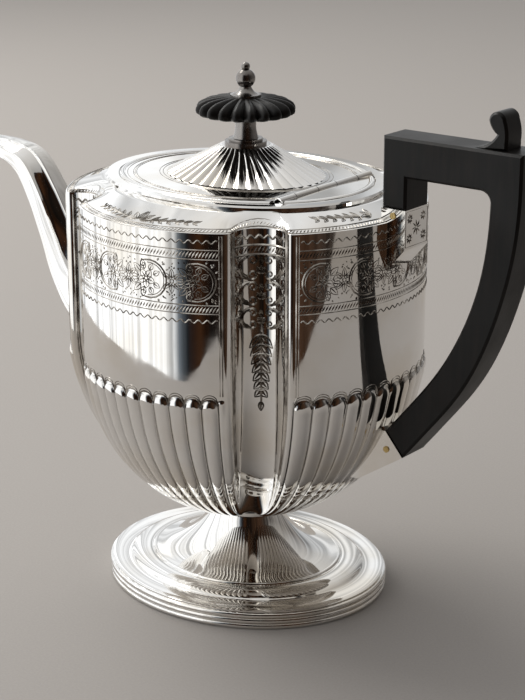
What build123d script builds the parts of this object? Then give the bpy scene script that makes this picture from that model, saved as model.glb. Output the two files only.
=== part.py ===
"""Silver coffee pot on an oval foot, with a swan-neck spout, a wooden handle and a hinged oval lid.

Frame: +Z up, +X towards the handle, -X towards the spout, origin in the middle of the foot on the table.
All sizes are in millimetres. Each piece of the real pot is one node in parts/.
"""
from build123d import *
import os
from math import asin, cos, hypot, pi, sin, sqrt

# ---------------------------------------------------------------- driving sizes
# body plan: four convex panels with a concave niche between each two
half_length = 69.7
half_width = 66.8
side_radius = 56.0
end_radius = 61.6
side_half_chord = 35.7
end_half_chord = 42.8
niche_depth_share = 0.907
wall = 1.2

# heights
neck_top = 30.5
bowl_top = 102.0
bowl_seam = 66.0
shoulder_edge = 155.8
gallery_base = 160.5

# foot
foot_half_length = 57.8
foot_ratio = 0.872
foot_rim_height = 6.5
foot_rim_width = 3.2
foot_reeds = 3
foot_reed_depth = 0.9
foot_flange_inset = 1.2
foot_first_step = 48.0
foot_second_step = 37.0
foot_step_height = 0.8
foot_first_step_height = 8.0
foot_second_step_height = 10.0
foot_sheet = 1.2
neck_radius = 14.1
neck_ring_height = 1.4
neck_ring_lip = 0.8
neck_ring_bore = 11.5

# gallery, mouth and lid: ovals of one proportion
oval_ratio = 0.8336
gallery_radius = 56.5
gallery_height = 1.6
gallery_bevel = 0.6
mouth_inset = 9.6
shoulder_mouth_inset = 8.6
ledge_height = 0.7
lid_inset = 5.5
lid_side_gap = 0.35
lid_rim_thickness = 1.5
lid_sheet = 1.0
lid_bead_width = 2.4
lid_flat_drop = 0.4
lid_flat_rise = 0.8
lid_centre_inset = 5.0
bezel_gap = 1.0
bezel_thickness = 0.9
bezel_depth = 6.0

# hinge
hinge_inset = 14.3
hinge_side_space = 1.4
knuckle_radius = 1.5
knuckle_gap = 0.3
knuckle_shares = [9 / 55, 13 / 55, 11 / 55, 13 / 55, 9 / 55]
knuckle_relief = 0.4
hinge_pin_radius = 0.7
hinge_pin_running_fit = 0.05
leaf_thickness = 1.1

# fluted cone and finial
cone_inset = 4.7
cone_height = 11.0
cone_top_radius = 9.75
cone_sheet = 0.9
collar_radius = 7.9
collar_height = 1.5
pedestal_height = 9.3
pedestal_foot_radius = 6.4
pedestal_foot_height = 1.0
pedestal_neck_radius = 3.9
disc_radius = 17.8
disc_height = 7.2
disc_rim_height = 1.4
knob_height = 12.7
knob_base_radius = 5.8
knob_neck_radius = 2.1
knob_ball_radius = 3.65
knob_button_radius = 1.65
stud_radius = 1.3
stud_fit = 0.05
stud_depth_in_knob = 6.0
nut_across_flats = 5.5
nut_height = 2.4
washer_radius = 4.2
washer_height = 0.8
stud_tail = 0.8

# handle and its sockets
handle_width = 14.9
handle_left = half_length - 3.1
handle_right = half_length + 52.7
bar_top = shoulder_edge + 30.8
bar_bottom = shoulder_edge + 16.7
stub_right = half_length + 6.9
socket_top = shoulder_edge + 5.2
socket_outer_bottom = shoulder_edge - 9.1
socket_wall_bottom = shoulder_edge - 18.7
socket_sheet = 0.9
tenon_fit = 0.1
upper_tenon_depth = 11.0
lower_tenon_depth = 6.5
lower_cut_inner = (half_length + 0.5, bowl_top - 24.0)
lower_cut_outer = (half_length + 8.1, bowl_top - 32.9)
lower_socket_tip = (half_length - 11.3, bowl_top - 45.6)
handle_pin_radius = 0.9
handle_pin_head_radius = 1.2
handle_pin_head_height = 0.35
upper_pin_place = (half_length + 1.9, shoulder_edge + 2.8)
lower_pin_place = (half_length + 1.2, bowl_top - 31.0)
thumb_width = 10.4

# spout: centre (distance out from the body's end, height above the bowl's top), direction in degrees above -X,
# half thickness, half width
spout_sheet = 1.0
spout_stations = [
    (-8.7, -7.5, 22.0, 19.0, 14.6),
    (6.8, -1.5, 38.0, 15.8, 13.6),
    (18.3, 9.8, 54.0, 12.2, 11.4),
    (26.3, 23.8, 62.0, 9.6, 9.6),
    (33.9, 38.2, 56.0, 8.3, 8.7),
    (42.3, 49.4, 42.0, 7.4, 7.7),
    (52.3, 53.6, 24.0, 5.2, 6.6),
    (64.3, 55.2, 14.0, 3.8, 5.9),
]
drop_radius = 3.0
drop_stretch = 1.7
drop_place = (4.1 - half_length, bowl_top - 29.0)


# sizes that follow from the ones above
mouth_radius = gallery_radius - mouth_inset
shoulder_mouth_radius = gallery_radius - shoulder_mouth_inset
lid_radius = gallery_radius - lid_inset
hinge_x = lid_radius - hinge_inset
cone_radius = hinge_x - cone_inset
lid_centre_radius = cone_radius - lid_centre_inset
hinge_length = 2 * oval_ratio * sqrt(lid_radius**2 - hinge_x**2) - 2 * hinge_side_space
knuckle_room = hinge_length - knuckle_gap * (len(knuckle_shares) - 1)
knuckle_lengths = [share * knuckle_room for share in knuckle_shares]
far = 4 * gallery_radius


# ---------------------------------------------------------------- shape helpers
def outline(points):
    """A flat face inside a closed run of straight edges."""
    return make_face(Polyline(*points, close=True))


def upright(face):
    """Stands a face up: its first coordinate runs along X and its second along Z."""
    return Plane.XZ * face


def slab(face, width):
    """A standing face made into a plate of that width, centred on y = 0."""
    return extrude(upright(face), amount=width / 2, both=True)


def turned(face, ratio=1.0):
    """A face on the XZ plane turned about Z, then narrowed along Y to an oval."""
    solid = revolve(upright(face), axis=Axis.Z)
    return solid if ratio == 1.0 else scale(solid, by=(1, ratio, 1))


def oval_plate(radius, ratio, bottom, top):
    """An upright oval block between two heights."""
    return Pos(0, 0, bottom) * extrude(Ellipse(radius, radius * ratio), amount=top - bottom)


def block(low, high):
    """A box between two corners."""
    size = [b - a for a, b in zip(low, high)]
    centre = [(a + b) / 2 for a, b in zip(low, high)]
    return Pos(*centre) * Box(*size)


def across(place, radius, low, high):
    """A round bar along Y at (x, z), from y = low to y = high."""
    bar = Rot(-90, 0, 0) * Cylinder(radius, high - low)
    return Pos(place[0], (low + high) / 2, place[1]) * bar


def upright_bar(radius, bottom, top):
    """A round bar along Z on the pot's axis."""
    return Pos(0, 0, (bottom + top) / 2) * Cylinder(radius, top - bottom)


def circles_meet(first, first_radius, second, second_radius, near):
    """The point where two circles cross that lies nearer to a third point."""
    dx = second[0] - first[0]
    dy = second[1] - first[1]
    span = hypot(dx, dy)
    along = (first_radius**2 - second_radius**2 + span**2) / (2 * span)
    off = sqrt(first_radius**2 - along**2)
    ux = dx / span
    uy = dy / span
    found = [
        (first[0] + along * ux + side * off * uy, first[1] + along * uy - side * off * ux)
        for side in (1, -1)
    ]
    return min(found, key=lambda p: hypot(p[0] - near[0], p[1] - near[1]))


# ---------------------------------------------------------------- body plan
side_centre = (0.0, half_width - side_radius)
end_centre = (half_length - end_radius, 0.0)
side_corner = (side_half_chord, side_centre[1] + sqrt(side_radius**2 - side_half_chord**2))
end_corner = (end_centre[0] + sqrt(end_radius**2 - end_half_chord**2), end_half_chord)
niche_middle = ((side_corner[0] + end_corner[0]) / 2, (side_corner[1] + end_corner[1]) / 2)
niche_half_chord = hypot(end_corner[0] - side_corner[0], end_corner[1] - side_corner[1]) / 2
niche_out = (
    (side_corner[1] - end_corner[1]) / (2 * niche_half_chord),
    (end_corner[0] - side_corner[0]) / (2 * niche_half_chord),
)
niche_depth = niche_depth_share * niche_half_chord
niche_radius = (niche_half_chord**2 + niche_depth**2) / (2 * niche_depth)
niche_centre = tuple(m + n * (niche_radius - niche_depth) for m, n in zip(niche_middle, niche_out))


def plan(inset=0.0, share=1.0):
    """The body's plan as a face: panels and niches moved inwards by inset, then shrunk to share."""
    niche = niche_radius + inset
    side_end = circles_meet(side_centre, side_radius - inset, niche_centre, niche, side_corner)
    end_end = circles_meet(end_centre, end_radius - inset, niche_centre, niche, end_corner)
    deep = tuple(c - n * niche for c, n in zip(niche_centre, niche_out))
    quarter = [(0.0, half_width - inset), side_end, deep, end_end, (half_length - inset, 0.0)]
    half = quarter + [(x, -y) for x, y in quarter[-2::-1]]
    ring = half + [(-x, y) for x, y in half[-2:0:-1]]
    ring = [(x * share, y * share) for x, y in ring]
    count = len(ring)
    arcs = [
        ThreePointArc(ring[i], ring[(i + 1) % count], ring[(i + 2) % count])
        for i in range(1, count, 2)
    ]
    return make_face(arcs)


def bowl_angle(height):
    """The angle down the bowl's quarter ellipse at a height."""
    return asin((bowl_top - height) / bowl_drop)


neck_share = neck_radius / half_length
bowl_drop = (bowl_top - neck_top) / sqrt(1 - neck_share**2)
bowl_stations = 7


def bowl(inset=0.0):
    """The bowl as one closed solid, moved inwards by inset all over."""
    last = bowl_angle(neck_top)
    sections = []
    for i in range(bowl_stations):
        angle = last * i / (bowl_stations - 1)
        height = bowl_top - bowl_drop * sin(angle) + inset * sin(angle)
        sections.append(Pos(0, 0, height) * plan(inset, cos(angle)))
    return loft(sections)


def vessel(inset=0.0):
    """The whole body as one closed solid, up to the shoulder edge."""
    upper = Pos(0, 0, bowl_top) * extrude(plan(inset), amount=shoulder_edge - bowl_top)
    return upper + bowl(inset)


# ---------------------------------------------------------------- foot
def make_foot_rim():
    """The applied wire round the foot: reeds on the outside, flat inside, standing on a true flat."""
    inner = foot_half_length - foot_rim_width
    root = foot_half_length - foot_reed_depth
    pitch = foot_rim_height / foot_reeds
    reeds = [
        ThreePointArc((root, i * pitch), (foot_half_length, (i + 0.5) * pitch), (root, (i + 1) * pitch))
        for i in range(foot_reeds)
    ]
    back = Polyline((root, foot_rim_height), (inner, foot_rim_height), (inner, -1), (root, -1), (root, 0))
    above_table = block((-far, -far, 0), (far, far, far))
    return turned(make_face([*reeds, *back.edges()]), foot_ratio) & above_table


def make_foot():
    """The raised foot: a sloping flange, two steps, and a trumpet that rises to the neck."""
    flange = foot_half_length - foot_flange_inset
    base = foot_rim_height
    lift = foot_sheet
    outer_edges = Polyline(
        (flange, base),
        (flange, base + foot_step_height),
        (foot_first_step, foot_first_step_height),
        (foot_first_step - foot_step_height, foot_first_step_height + foot_step_height),
        (foot_second_step, foot_second_step_height),
        (foot_second_step - foot_step_height, foot_second_step_height + foot_step_height),
    )
    trumpet_start = (foot_second_step - foot_step_height, foot_second_step_height + foot_step_height)
    trumpet_rise = neck_top - neck_ring_height - trumpet_start[1]
    trumpet_run = trumpet_start[0] - neck_radius
    neck_end = (neck_radius, neck_top - neck_ring_height)
    middle = (neck_radius + 0.4 * trumpet_run, trumpet_start[1] + 0.43 * trumpet_rise)
    outer_curve = Spline(
        trumpet_start, middle, neck_end, tangents=[(-1.0, 0.25), (-0.12, 1.0)], tangent_scalars=[1.0, 1.0]
    )
    inner_curve = Spline(
        (neck_radius - lift, neck_end[1]),
        (middle[0] - 0.7 * lift, middle[1] - 0.9 * lift),
        (trumpet_start[0] - 0.3 * lift, trumpet_start[1] - lift),
        tangents=[(0.12, -1.0), (1.0, -0.25)],
        tangent_scalars=[1.0, 1.0],
    )
    top = Line(neck_end, (neck_radius - lift, neck_end[1]))
    under = Polyline(
        (trumpet_start[0] - 0.3 * lift, trumpet_start[1] - lift),
        (foot_second_step, foot_second_step_height - lift),
        (foot_first_step - foot_step_height, foot_first_step_height + foot_step_height - lift),
        (foot_first_step, foot_first_step_height - lift),
        (foot_half_length - foot_rim_width, base),
        (flange, base),
    )
    profile = make_face([*outer_edges.edges(), outer_curve, top, inner_curve, *under.edges()])
    return turned(profile, foot_ratio)


def make_neck_ring():
    """The collet that the bowl is soldered to."""
    outer = neck_radius + neck_ring_lip
    ring = oval_plate(outer, foot_ratio, neck_top - neck_ring_height, neck_top)
    return ring - oval_plate(neck_ring_bore, foot_ratio, 0, bowl_top)


# ---------------------------------------------------------------- shoulder, gallery and hinge plate
def shoulder_block(inset=0.0):
    """The shoulder as a closed block: the body's plan below, the gallery's oval above."""
    low = Pos(0, 0, shoulder_edge) * plan(inset)
    radius = gallery_radius - inset
    high = Pos(0, 0, gallery_base - inset * 0.5) * Ellipse(radius, radius * oval_ratio)
    return loft([low, high], ruled=True)


def make_shoulder():
    """The sloping sheet between the wall and the gallery, with the mouth cut through."""
    mouth = oval_plate(shoulder_mouth_radius, oval_ratio, shoulder_edge - 1, gallery_base + 1)
    return shoulder_block() - shoulder_block(wall) - mouth


hinge_z = gallery_base + knuckle_radius + knuckle_relief
ledge_z = gallery_base + ledge_height
gallery_top = gallery_base + gallery_height
lid_rim_top = ledge_z + lid_rim_thickness
recess_radius = lid_radius + lid_side_gap
leaf_edge = knuckle_radius + knuckle_relief


def hinge_groove():
    """The space round the hinge tube."""
    reach = hinge_length / 2 + knuckle_gap
    return across((hinge_x, hinge_z), knuckle_radius + knuckle_relief, -reach, reach)


def make_gallery():
    """The oval moulding round the mouth, with a ledge inside that the lid rests on."""
    profile = outline(
        [
            (mouth_radius, gallery_base),
            (gallery_radius, gallery_base),
            (gallery_radius, gallery_top - gallery_bevel),
            (gallery_radius - gallery_bevel, gallery_top),
            (recess_radius, gallery_top),
            (recess_radius, ledge_z),
            (mouth_radius, ledge_z),
        ]
    )
    return turned(profile, oval_ratio) - hinge_groove()


def lid_profile():
    """Half of the lid's section: a beaded rim, then a ring that rises gently to the cone."""
    bead_in = lid_radius - lid_bead_width
    flat_start = lid_rim_top - lid_flat_drop
    flat_end = flat_start + lid_flat_rise
    slope = lid_flat_rise / (bead_in - lid_centre_radius)
    under_start = (mouth_radius, ledge_z)
    under_z = flat_start + slope * (bead_in - mouth_radius) - lid_sheet
    rim = ThreePointArc(
        (lid_radius, ledge_z + 0.4 * lid_rim_thickness),
        (lid_radius - 0.3 * lid_bead_width, lid_rim_top - 0.1),
        (bead_in, flat_start),
    )
    rest = Polyline(
        (bead_in, flat_start),
        (lid_centre_radius, flat_end),
        (lid_centre_radius, flat_end - lid_sheet),
        (mouth_radius, under_z),
        under_start,
        (lid_radius, ledge_z),
        (lid_radius, ledge_z + 0.4 * lid_rim_thickness),
    )
    return make_face([rim, *rest.edges()])


lid_slope = lid_flat_rise / (lid_radius - lid_bead_width - lid_centre_radius)
cone_base = lid_rim_top - lid_flat_drop + lid_slope * (lid_radius - lid_bead_width - cone_radius)
cone_top = cone_base + cone_height


def make_hinge_plate():
    """The fixed end of the lid oval, behind the hinge."""
    behind = block((hinge_x + leaf_edge, -far, 0), (far, far, 2 * gallery_top))
    plate = turned(lid_profile(), oval_ratio)
    return plate & behind


# ---------------------------------------------------------------- hinge knuckles and pin
def knuckle_spans():
    """The (start, end) of each knuckle along Y."""
    spans = []
    start = -hinge_length / 2
    for length in knuckle_lengths:
        spans.append((start, start + length))
        start += length + knuckle_gap
    return spans


def make_knuckles(indices, towards, bore):
    """The knuckles with those indices: each a tube with a leaf on the side it is soldered to."""
    spans = knuckle_spans()
    made = []
    leaf_top = hinge_z + leaf_thickness / 2 - knuckle_relief / 2
    for index in indices:
        low, high = spans[index]
        tube = across((hinge_x, hinge_z), knuckle_radius, low, high)
        x_edges = sorted((hinge_x, hinge_x + towards * leaf_edge))
        leaf = block((x_edges[0], low, leaf_top - leaf_thickness), (x_edges[1], high, leaf_top))
        made.append((tube + leaf) - across((hinge_x, hinge_z), bore, low - 1, high + 1))
    return Compound(children=[m.solid() for m in made])


def make_hinge_pin():
    """The wire that the knuckles turn on."""
    return across((hinge_x, hinge_z), hinge_pin_radius, -hinge_length / 2, hinge_length / 2)


# ---------------------------------------------------------------- lid
def in_front_of_hinge(clearance):
    """Everything on the spout side of the hinge tube."""
    return block((-far, -far, 0), (hinge_x - clearance, far, 2 * cone_top))


def make_lid():
    """The lid plate, cut off straight along the hinge."""
    return turned(lid_profile(), oval_ratio) & in_front_of_hinge(leaf_edge)


def make_bezel():
    """The flange below the lid that drops into the mouth."""
    outer = mouth_radius - bezel_gap
    inner = outer - bezel_thickness
    slope_z = lid_rim_top - lid_flat_drop - lid_sheet + lid_slope * (lid_radius - lid_bead_width - outer)
    ring = turned(
        outline(
            [
                (inner, ledge_z - bezel_depth),
                (outer, ledge_z - bezel_depth),
                (outer, slope_z),
                (inner, slope_z + lid_slope * bezel_thickness),
            ]
        ),
        oval_ratio,
    )
    return ring & in_front_of_hinge(2 * leaf_edge)


def cone_block(inset, bottom, top):
    """A cone with an oval base and a round top."""
    low = Pos(0, 0, bottom) * Ellipse(cone_radius - inset, cone_radius * oval_ratio - inset)
    high = Pos(0, 0, top) * Circle(cone_top_radius - inset)
    return loft([low, high], ruled=True)


def make_cone(plate):
    """The fluted cone as a plain hollow cone with a flat top, set down on the lid's sloping plate."""
    hollow = cone_block(cone_sheet, cone_base, cone_top - cone_sheet)
    return cone_block(0, cone_base, cone_top) - hollow - plate - stud_hole(cone_base, cone_top + 1)


# ---------------------------------------------------------------- finial
def stud_hole(bottom, top):
    """The clearance hole for the finial's stud."""
    return upright_bar(stud_radius + stud_fit, bottom, top)


collar_top = cone_top + collar_height
pedestal_top = collar_top + pedestal_height
disc_top = pedestal_top + disc_height
knob_top = disc_top + knob_height


def make_collar():
    """The flat ring on top of the cone."""
    return upright_bar(collar_radius, cone_top, collar_top) - stud_hole(cone_top - 1, collar_top + 1)


def make_pedestal():
    """The waisted silver stem under the wooden disc."""
    step = pedestal_foot_radius - 1.6
    foot_top = collar_top + pedestal_foot_height
    curve = ThreePointArc(
        (step, foot_top),
        (pedestal_neck_radius, collar_top + 0.55 * pedestal_height),
        (pedestal_neck_radius + 0.5, pedestal_top),
    )
    rest = Polyline(
        (pedestal_neck_radius + 0.5, pedestal_top),
        (0, pedestal_top),
        (0, collar_top),
        (pedestal_foot_radius, collar_top),
        (pedestal_foot_radius, foot_top),
        (step, foot_top),
    )
    solid = turned(make_face([curve, *rest.edges()]))
    return solid - stud_hole(collar_top - 1, pedestal_top + 1)


def make_disc():
    """The wooden disc: a low dome over a nearly flat underside."""
    rim_z = pedestal_top + disc_rim_height
    dome = ThreePointArc(
        (disc_radius, rim_z), (0.74 * disc_radius, pedestal_top + 0.72 * disc_height), (knob_base_radius, disc_top)
    )
    rest = Polyline(
        (knob_base_radius, disc_top),
        (0, disc_top),
        (0, pedestal_top),
        (0.8 * disc_radius, pedestal_top),
        (disc_radius, rim_z),
    )
    return turned(make_face([dome, *rest.edges()])) - stud_hole(pedestal_top - 1, disc_top + 1)


def make_knob():
    """The silver cap that screws down on the disc: flared base, neck, ball and button."""
    base_edge = 0.8
    ball_z = knob_top - 2 * knob_button_radius - 0.75 * knob_ball_radius
    neck_z = disc_top + 0.29 * knob_height
    neck_join = sqrt(knob_ball_radius**2 - knob_neck_radius**2)
    button_join = sqrt(knob_ball_radius**2 - (0.8 * knob_button_radius) ** 2)
    button_z = knob_top - knob_button_radius
    button_low = button_z - 0.6 * knob_button_radius
    edges = [
        Line((0, disc_top), (knob_base_radius, disc_top)),
        Line((knob_base_radius, disc_top), (knob_base_radius, disc_top + base_edge)),
        ThreePointArc(
            (knob_base_radius, disc_top + base_edge),
            (0.55 * knob_base_radius, disc_top + 0.15 * knob_height),
            (knob_neck_radius, neck_z),
        ),
        Line((knob_neck_radius, neck_z), (knob_neck_radius, ball_z - neck_join)),
        ThreePointArc(
            (knob_neck_radius, ball_z - neck_join),
            (knob_ball_radius, ball_z),
            (0.8 * knob_button_radius, ball_z + button_join),
        ),
        Line((0.8 * knob_button_radius, ball_z + button_join), (0.8 * knob_button_radius, button_low)),
        ThreePointArc((0.8 * knob_button_radius, button_low), (knob_button_radius, button_z), (0, knob_top)),
        Line((0, knob_top), (0, disc_top)),
    ]
    return turned(make_face(edges)) - stud_hole(disc_top - 1, disc_top + stud_depth_in_knob)


washer_top = cone_top - cone_sheet
nut_top = washer_top - washer_height
nut_bottom = nut_top - nut_height


def make_washer():
    """The washer under the cone's flat top."""
    return upright_bar(washer_radius, nut_top, washer_top) - stud_hole(nut_top - 1, washer_top + 1)


def make_nut():
    """The nut that holds the finial, inside the cone."""
    hexagon = RegularPolygon(radius=nut_across_flats / 2, side_count=6, major_radius=False)
    return Pos(0, 0, nut_bottom) * extrude(hexagon, amount=nut_height) - upright_bar(
        stud_radius, nut_bottom - 1, nut_top + 1
    )


def make_stud():
    """The long screw from the nut, through cone, collar, stem and disc, into the knob."""
    return upright_bar(stud_radius, nut_bottom - stud_tail, disc_top + stud_depth_in_knob)


# ---------------------------------------------------------------- spout
def spout_block(inset=0.0):
    """The spout as one closed solid, made smaller by inset all round."""
    sections = []
    for out, up, slope, thick, wide in spout_stations:
        direction = (-cos(slope * pi / 180), 0, sin(slope * pi / 180))
        plane = Plane(origin=(-half_length - out, 0, bowl_top + up), x_dir=(0, 1, 0), z_dir=direction)
        sections.append(plane * Ellipse(wide - inset, thick - inset))
    return loft(sections)


def make_spout(body):
    """The hollow swan-neck spout, cut to sit on the end panel."""
    return spout_block() - spout_block(spout_sheet) - body


def make_drop(body, spout):
    """The small pendant below the spout's root."""
    ball = scale(Sphere(drop_radius), by=(1, 1, drop_stretch))
    return Pos(drop_place[0], 0, drop_place[1]) * ball - body - spout


# ---------------------------------------------------------------- handle and sockets
lower_cut_length = hypot(lower_cut_outer[0] - lower_cut_inner[0], lower_cut_outer[1] - lower_cut_inner[1])
cut_along = (
    (lower_cut_outer[0] - lower_cut_inner[0]) / lower_cut_length,
    (lower_cut_outer[1] - lower_cut_inner[1]) / lower_cut_length,
)
cut_inwards = (cut_along[1], -cut_along[0])


def on_lower_cut(along, deep):
    """A point at a distance along the handle's lower cut and at a depth into the socket."""
    return (
        lower_cut_inner[0] + along * cut_along[0] + deep * cut_inwards[0],
        lower_cut_inner[1] + along * cut_along[1] + deep * cut_inwards[1],
    )


def upper_tenon(clearance):
    """The peg that goes down into the upper socket: wide over the shoulder, narrow beside the wall."""
    left = handle_left + socket_sheet + tenon_fit - clearance
    right = stub_right - socket_sheet - tenon_fit + clearance
    beside_wall = half_length + socket_sheet + tenon_fit - clearance
    over_shoulder = shoulder_edge + socket_sheet + tenon_fit - clearance
    bottom = socket_top - upper_tenon_depth - clearance
    width = handle_width - 2 * (socket_sheet + tenon_fit) + 2 * clearance
    peg = outline(
        [
            (left, socket_top),
            (right, socket_top),
            (right, bottom),
            (beside_wall, bottom),
            (beside_wall, over_shoulder),
            (left, over_shoulder),
        ]
    )
    return slab(peg, width)


def lower_tenon(clearance):
    """The peg on the grip's cut end."""
    start = socket_sheet + tenon_fit - clearance
    end = lower_cut_length - start
    deep = lower_tenon_depth + clearance
    corners = [on_lower_cut(start, 0), on_lower_cut(end, 0), on_lower_cut(end, deep), on_lower_cut(start, deep)]
    return slab(outline(corners), handle_width - 2 * (socket_sheet + tenon_fit) + 2 * clearance)


def thumbpiece():
    """The scroll on top of the bar that the thumb rests on."""
    start = handle_right - 20.4
    end = handle_right - 7.6
    edges = [
        Spline((start, bar_top), (handle_right - 15.4, bar_top + 1.6), (handle_right - 11.8, bar_top + 5.2)),
        ThreePointArc(
            (handle_right - 11.8, bar_top + 5.2),
            (handle_right - 13.8, bar_top + 7.0),
            (handle_right - 15.1, bar_top + 9.8),
        ),
        ThreePointArc(
            (handle_right - 15.1, bar_top + 9.8),
            (handle_right - 12.4, bar_top + 12.9),
            (handle_right - 8.5, bar_top + 10.0),
        ),
        ThreePointArc((handle_right - 8.5, bar_top + 10.0), (end, bar_top + 6.6), (end, bar_top + 2.6)),
        Line((end, bar_top + 2.6), (end, bar_top - 1.0)),
        Line((end, bar_top - 1.0), (start, bar_top - 1.0)),
        Line((start, bar_top - 1.0), (start, bar_top)),
    ]
    return slab(make_face(edges), thumb_width)


def make_handle():
    """The wooden handle: a bar, a long curved grip, a thumbpiece and two pegs."""
    inner_knee = handle_right - 12.1
    inner_round = 4.0
    outer_knee = bar_top - 10.6
    outer_start = (lower_cut_outer[0] + 5.6, lower_cut_outer[1] + 6.7)
    grip_in = Spline(
        (inner_knee, bar_bottom - inner_round),
        (handle_right - 15.8, bowl_top + 36.5),
        (handle_right - 30.2, bowl_top + 4.0),
        lower_cut_inner,
        tangents=[(-0.02, -1.0), (-0.62, -0.78)],
    )
    grip_out = Spline(
        outer_start,
        (handle_right - 20.5, bowl_top - 2.2),
        (handle_right - 6.0, bowl_top + 32.0),
        (handle_right, outer_knee),
        tangents=[(0.62, 0.78), (0.0, 1.0)],
    )
    edges = [
        Polyline(
            (handle_right, outer_knee),
            (handle_right, bar_top),
            (handle_left, bar_top),
            (handle_left, socket_top),
            (stub_right, socket_top),
            (stub_right, bar_bottom),
            (inner_knee - inner_round, bar_bottom),
        ),
        ThreePointArc(
            (inner_knee - inner_round, bar_bottom),
            (inner_knee - 0.3 * inner_round, bar_bottom - 0.3 * inner_round),
            (inner_knee, bar_bottom - inner_round),
        ),
        grip_in,
        Polyline(lower_cut_inner, lower_cut_outer, outer_start),
        grip_out,
    ]
    flat = [e for edge in edges for e in edge.edges()]
    body = slab(make_face(flat), handle_width) + thumbpiece()
    body = body + upper_tenon(0) + lower_tenon(0)
    return body - pin_bar(upper_pin_place) - pin_bar(lower_pin_place)


def pin_bar(place):
    """The round hole, or the shank, of a handle pin."""
    return across(place, handle_pin_radius, -handle_width / 2, handle_width / 2)


def make_pin(place):
    """A riveted pin through a socket and the peg in it, with a low head at each end."""
    half = handle_width / 2
    near = across(place, handle_pin_head_radius, -half - handle_pin_head_height, -half)
    distant = across(place, handle_pin_head_radius, half, half + handle_pin_head_height)
    return pin_bar(place) + near + distant


def make_upper_socket(body, shoulder):
    """The box over the shoulder edge that holds the handle's upper end."""
    inside = half_length - 12
    sides = outline(
        [
            (handle_left, socket_top),
            (stub_right, socket_top),
            (stub_right, socket_outer_bottom),
            (half_length - 1.4, socket_wall_bottom),
            (inside, socket_wall_bottom),
            (inside, shoulder_edge - 1),
            (handle_left, shoulder_edge - 1),
        ]
    )
    box = slab(sides, handle_width) - body - shoulder
    return box - upper_tenon(tenon_fit) - pin_bar(upper_pin_place)


def make_lower_socket(body):
    """The wedge on the bowl that holds the handle's lower end."""
    sides = outline(
        [
            lower_cut_inner,
            lower_cut_outer,
            lower_socket_tip,
            (half_length - 24.7, bowl_top - 46.0),
            (half_length - 19.7, bowl_top - 26.0),
            (half_length - 5.7, bowl_top - 25.0),
        ]
    )
    wedge = slab(sides, handle_width) - body
    return wedge - lower_tenon(tenon_fit) - pin_bar(lower_pin_place)


# ---------------------------------------------------------------- all the pieces
def largest(shape):
    """The largest solid of a shape, without the offcuts inside the body."""
    return max(shape.solids(), key=lambda solid: solid.volume)


def build():
    """Makes every piece and returns them by node name."""
    body = vessel()
    lower_zone = block((-far, -far, 0), (far, far, bowl_seam))
    upper_zone = block((-far, -far, bowl_seam), (far, far, bowl_top))
    shoulder_solid = shoulder_block()
    shell = body - vessel(wall) - spout_block(spout_sheet)
    fixed = [i for i in range(len(knuckle_lengths)) if i % 2 == 0]
    moving = [i for i in range(len(knuckle_lengths)) if i % 2 == 1]
    spout = largest(make_spout(body))
    lid = make_lid()
    return {
        "foot_rim": make_foot_rim(),
        "foot": make_foot(),
        "neck_ring": make_neck_ring(),
        "bowl_lower": largest(shell & lower_zone),
        "bowl_upper": largest(shell & upper_zone),
        "body_wall": largest(shell - lower_zone - upper_zone),
        "shoulder": make_shoulder(),
        "gallery": make_gallery(),
        "hinge_plate": make_hinge_plate(),
        "body_hinge_knuckles": make_knuckles(fixed, 1, hinge_pin_radius),
        "hinge_pin": make_hinge_pin(),
        "spout": spout,
        "spout_drop": largest(make_drop(body, spout)),
        "upper_socket": largest(make_upper_socket(body, shoulder_solid)),
        "lower_socket": largest(make_lower_socket(body)),
        "handle": make_handle(),
        "upper_handle_pin": make_pin(upper_pin_place),
        "lower_handle_pin": make_pin(lower_pin_place),
        "lid": lid,
        "lid_bezel": make_bezel(),
        "lid_cone": largest(make_cone(lid)),
        "lid_hinge_knuckles": make_knuckles(moving, -1, hinge_pin_radius + hinge_pin_running_fit),
        "finial_collar": make_collar(),
        "finial_pedestal": make_pedestal(),
        "finial_disc": make_disc(),
        "finial_knob": make_knob(),
        "finial_stud": make_stud(),
        "finial_washer": make_washer(),
        "finial_nut": make_nut(),
    }


os.makedirs("parts", exist_ok=True)
for name, shape in build().items():
    export_step(shape, f"parts/{name}.step")
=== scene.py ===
"""Looks of a silver coffee pot: chased and engraved silver, an ebonised handle and a table-top stage.

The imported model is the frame. Pieces that need relief are rebuilt around it in the same place, engraving
is laid on its surfaces, and every shown piece gets a procedural finish. Lengths are in millimetres until
a mesh is made.
"""

import logging
import math
from collections.abc import Callable, Iterable, Sequence
from dataclasses import dataclass
from enum import Enum
from typing import ClassVar

import bmesh
import bpy
import numpy as np
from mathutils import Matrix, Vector


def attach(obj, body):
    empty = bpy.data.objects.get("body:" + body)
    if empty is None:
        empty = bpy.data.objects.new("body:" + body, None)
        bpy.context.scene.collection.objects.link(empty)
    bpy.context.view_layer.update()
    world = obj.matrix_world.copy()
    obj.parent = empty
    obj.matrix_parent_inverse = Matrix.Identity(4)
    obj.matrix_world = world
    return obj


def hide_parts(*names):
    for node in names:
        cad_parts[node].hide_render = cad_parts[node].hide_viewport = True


Tree = bpy.types.NodeTree
Socket = bpy.types.NodeSocket
Piece = bpy.types.Object
Pair = tuple[float, float]
Array = np.ndarray
Run = tuple[Array, Array]  # points and the surface's normals at them

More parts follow.
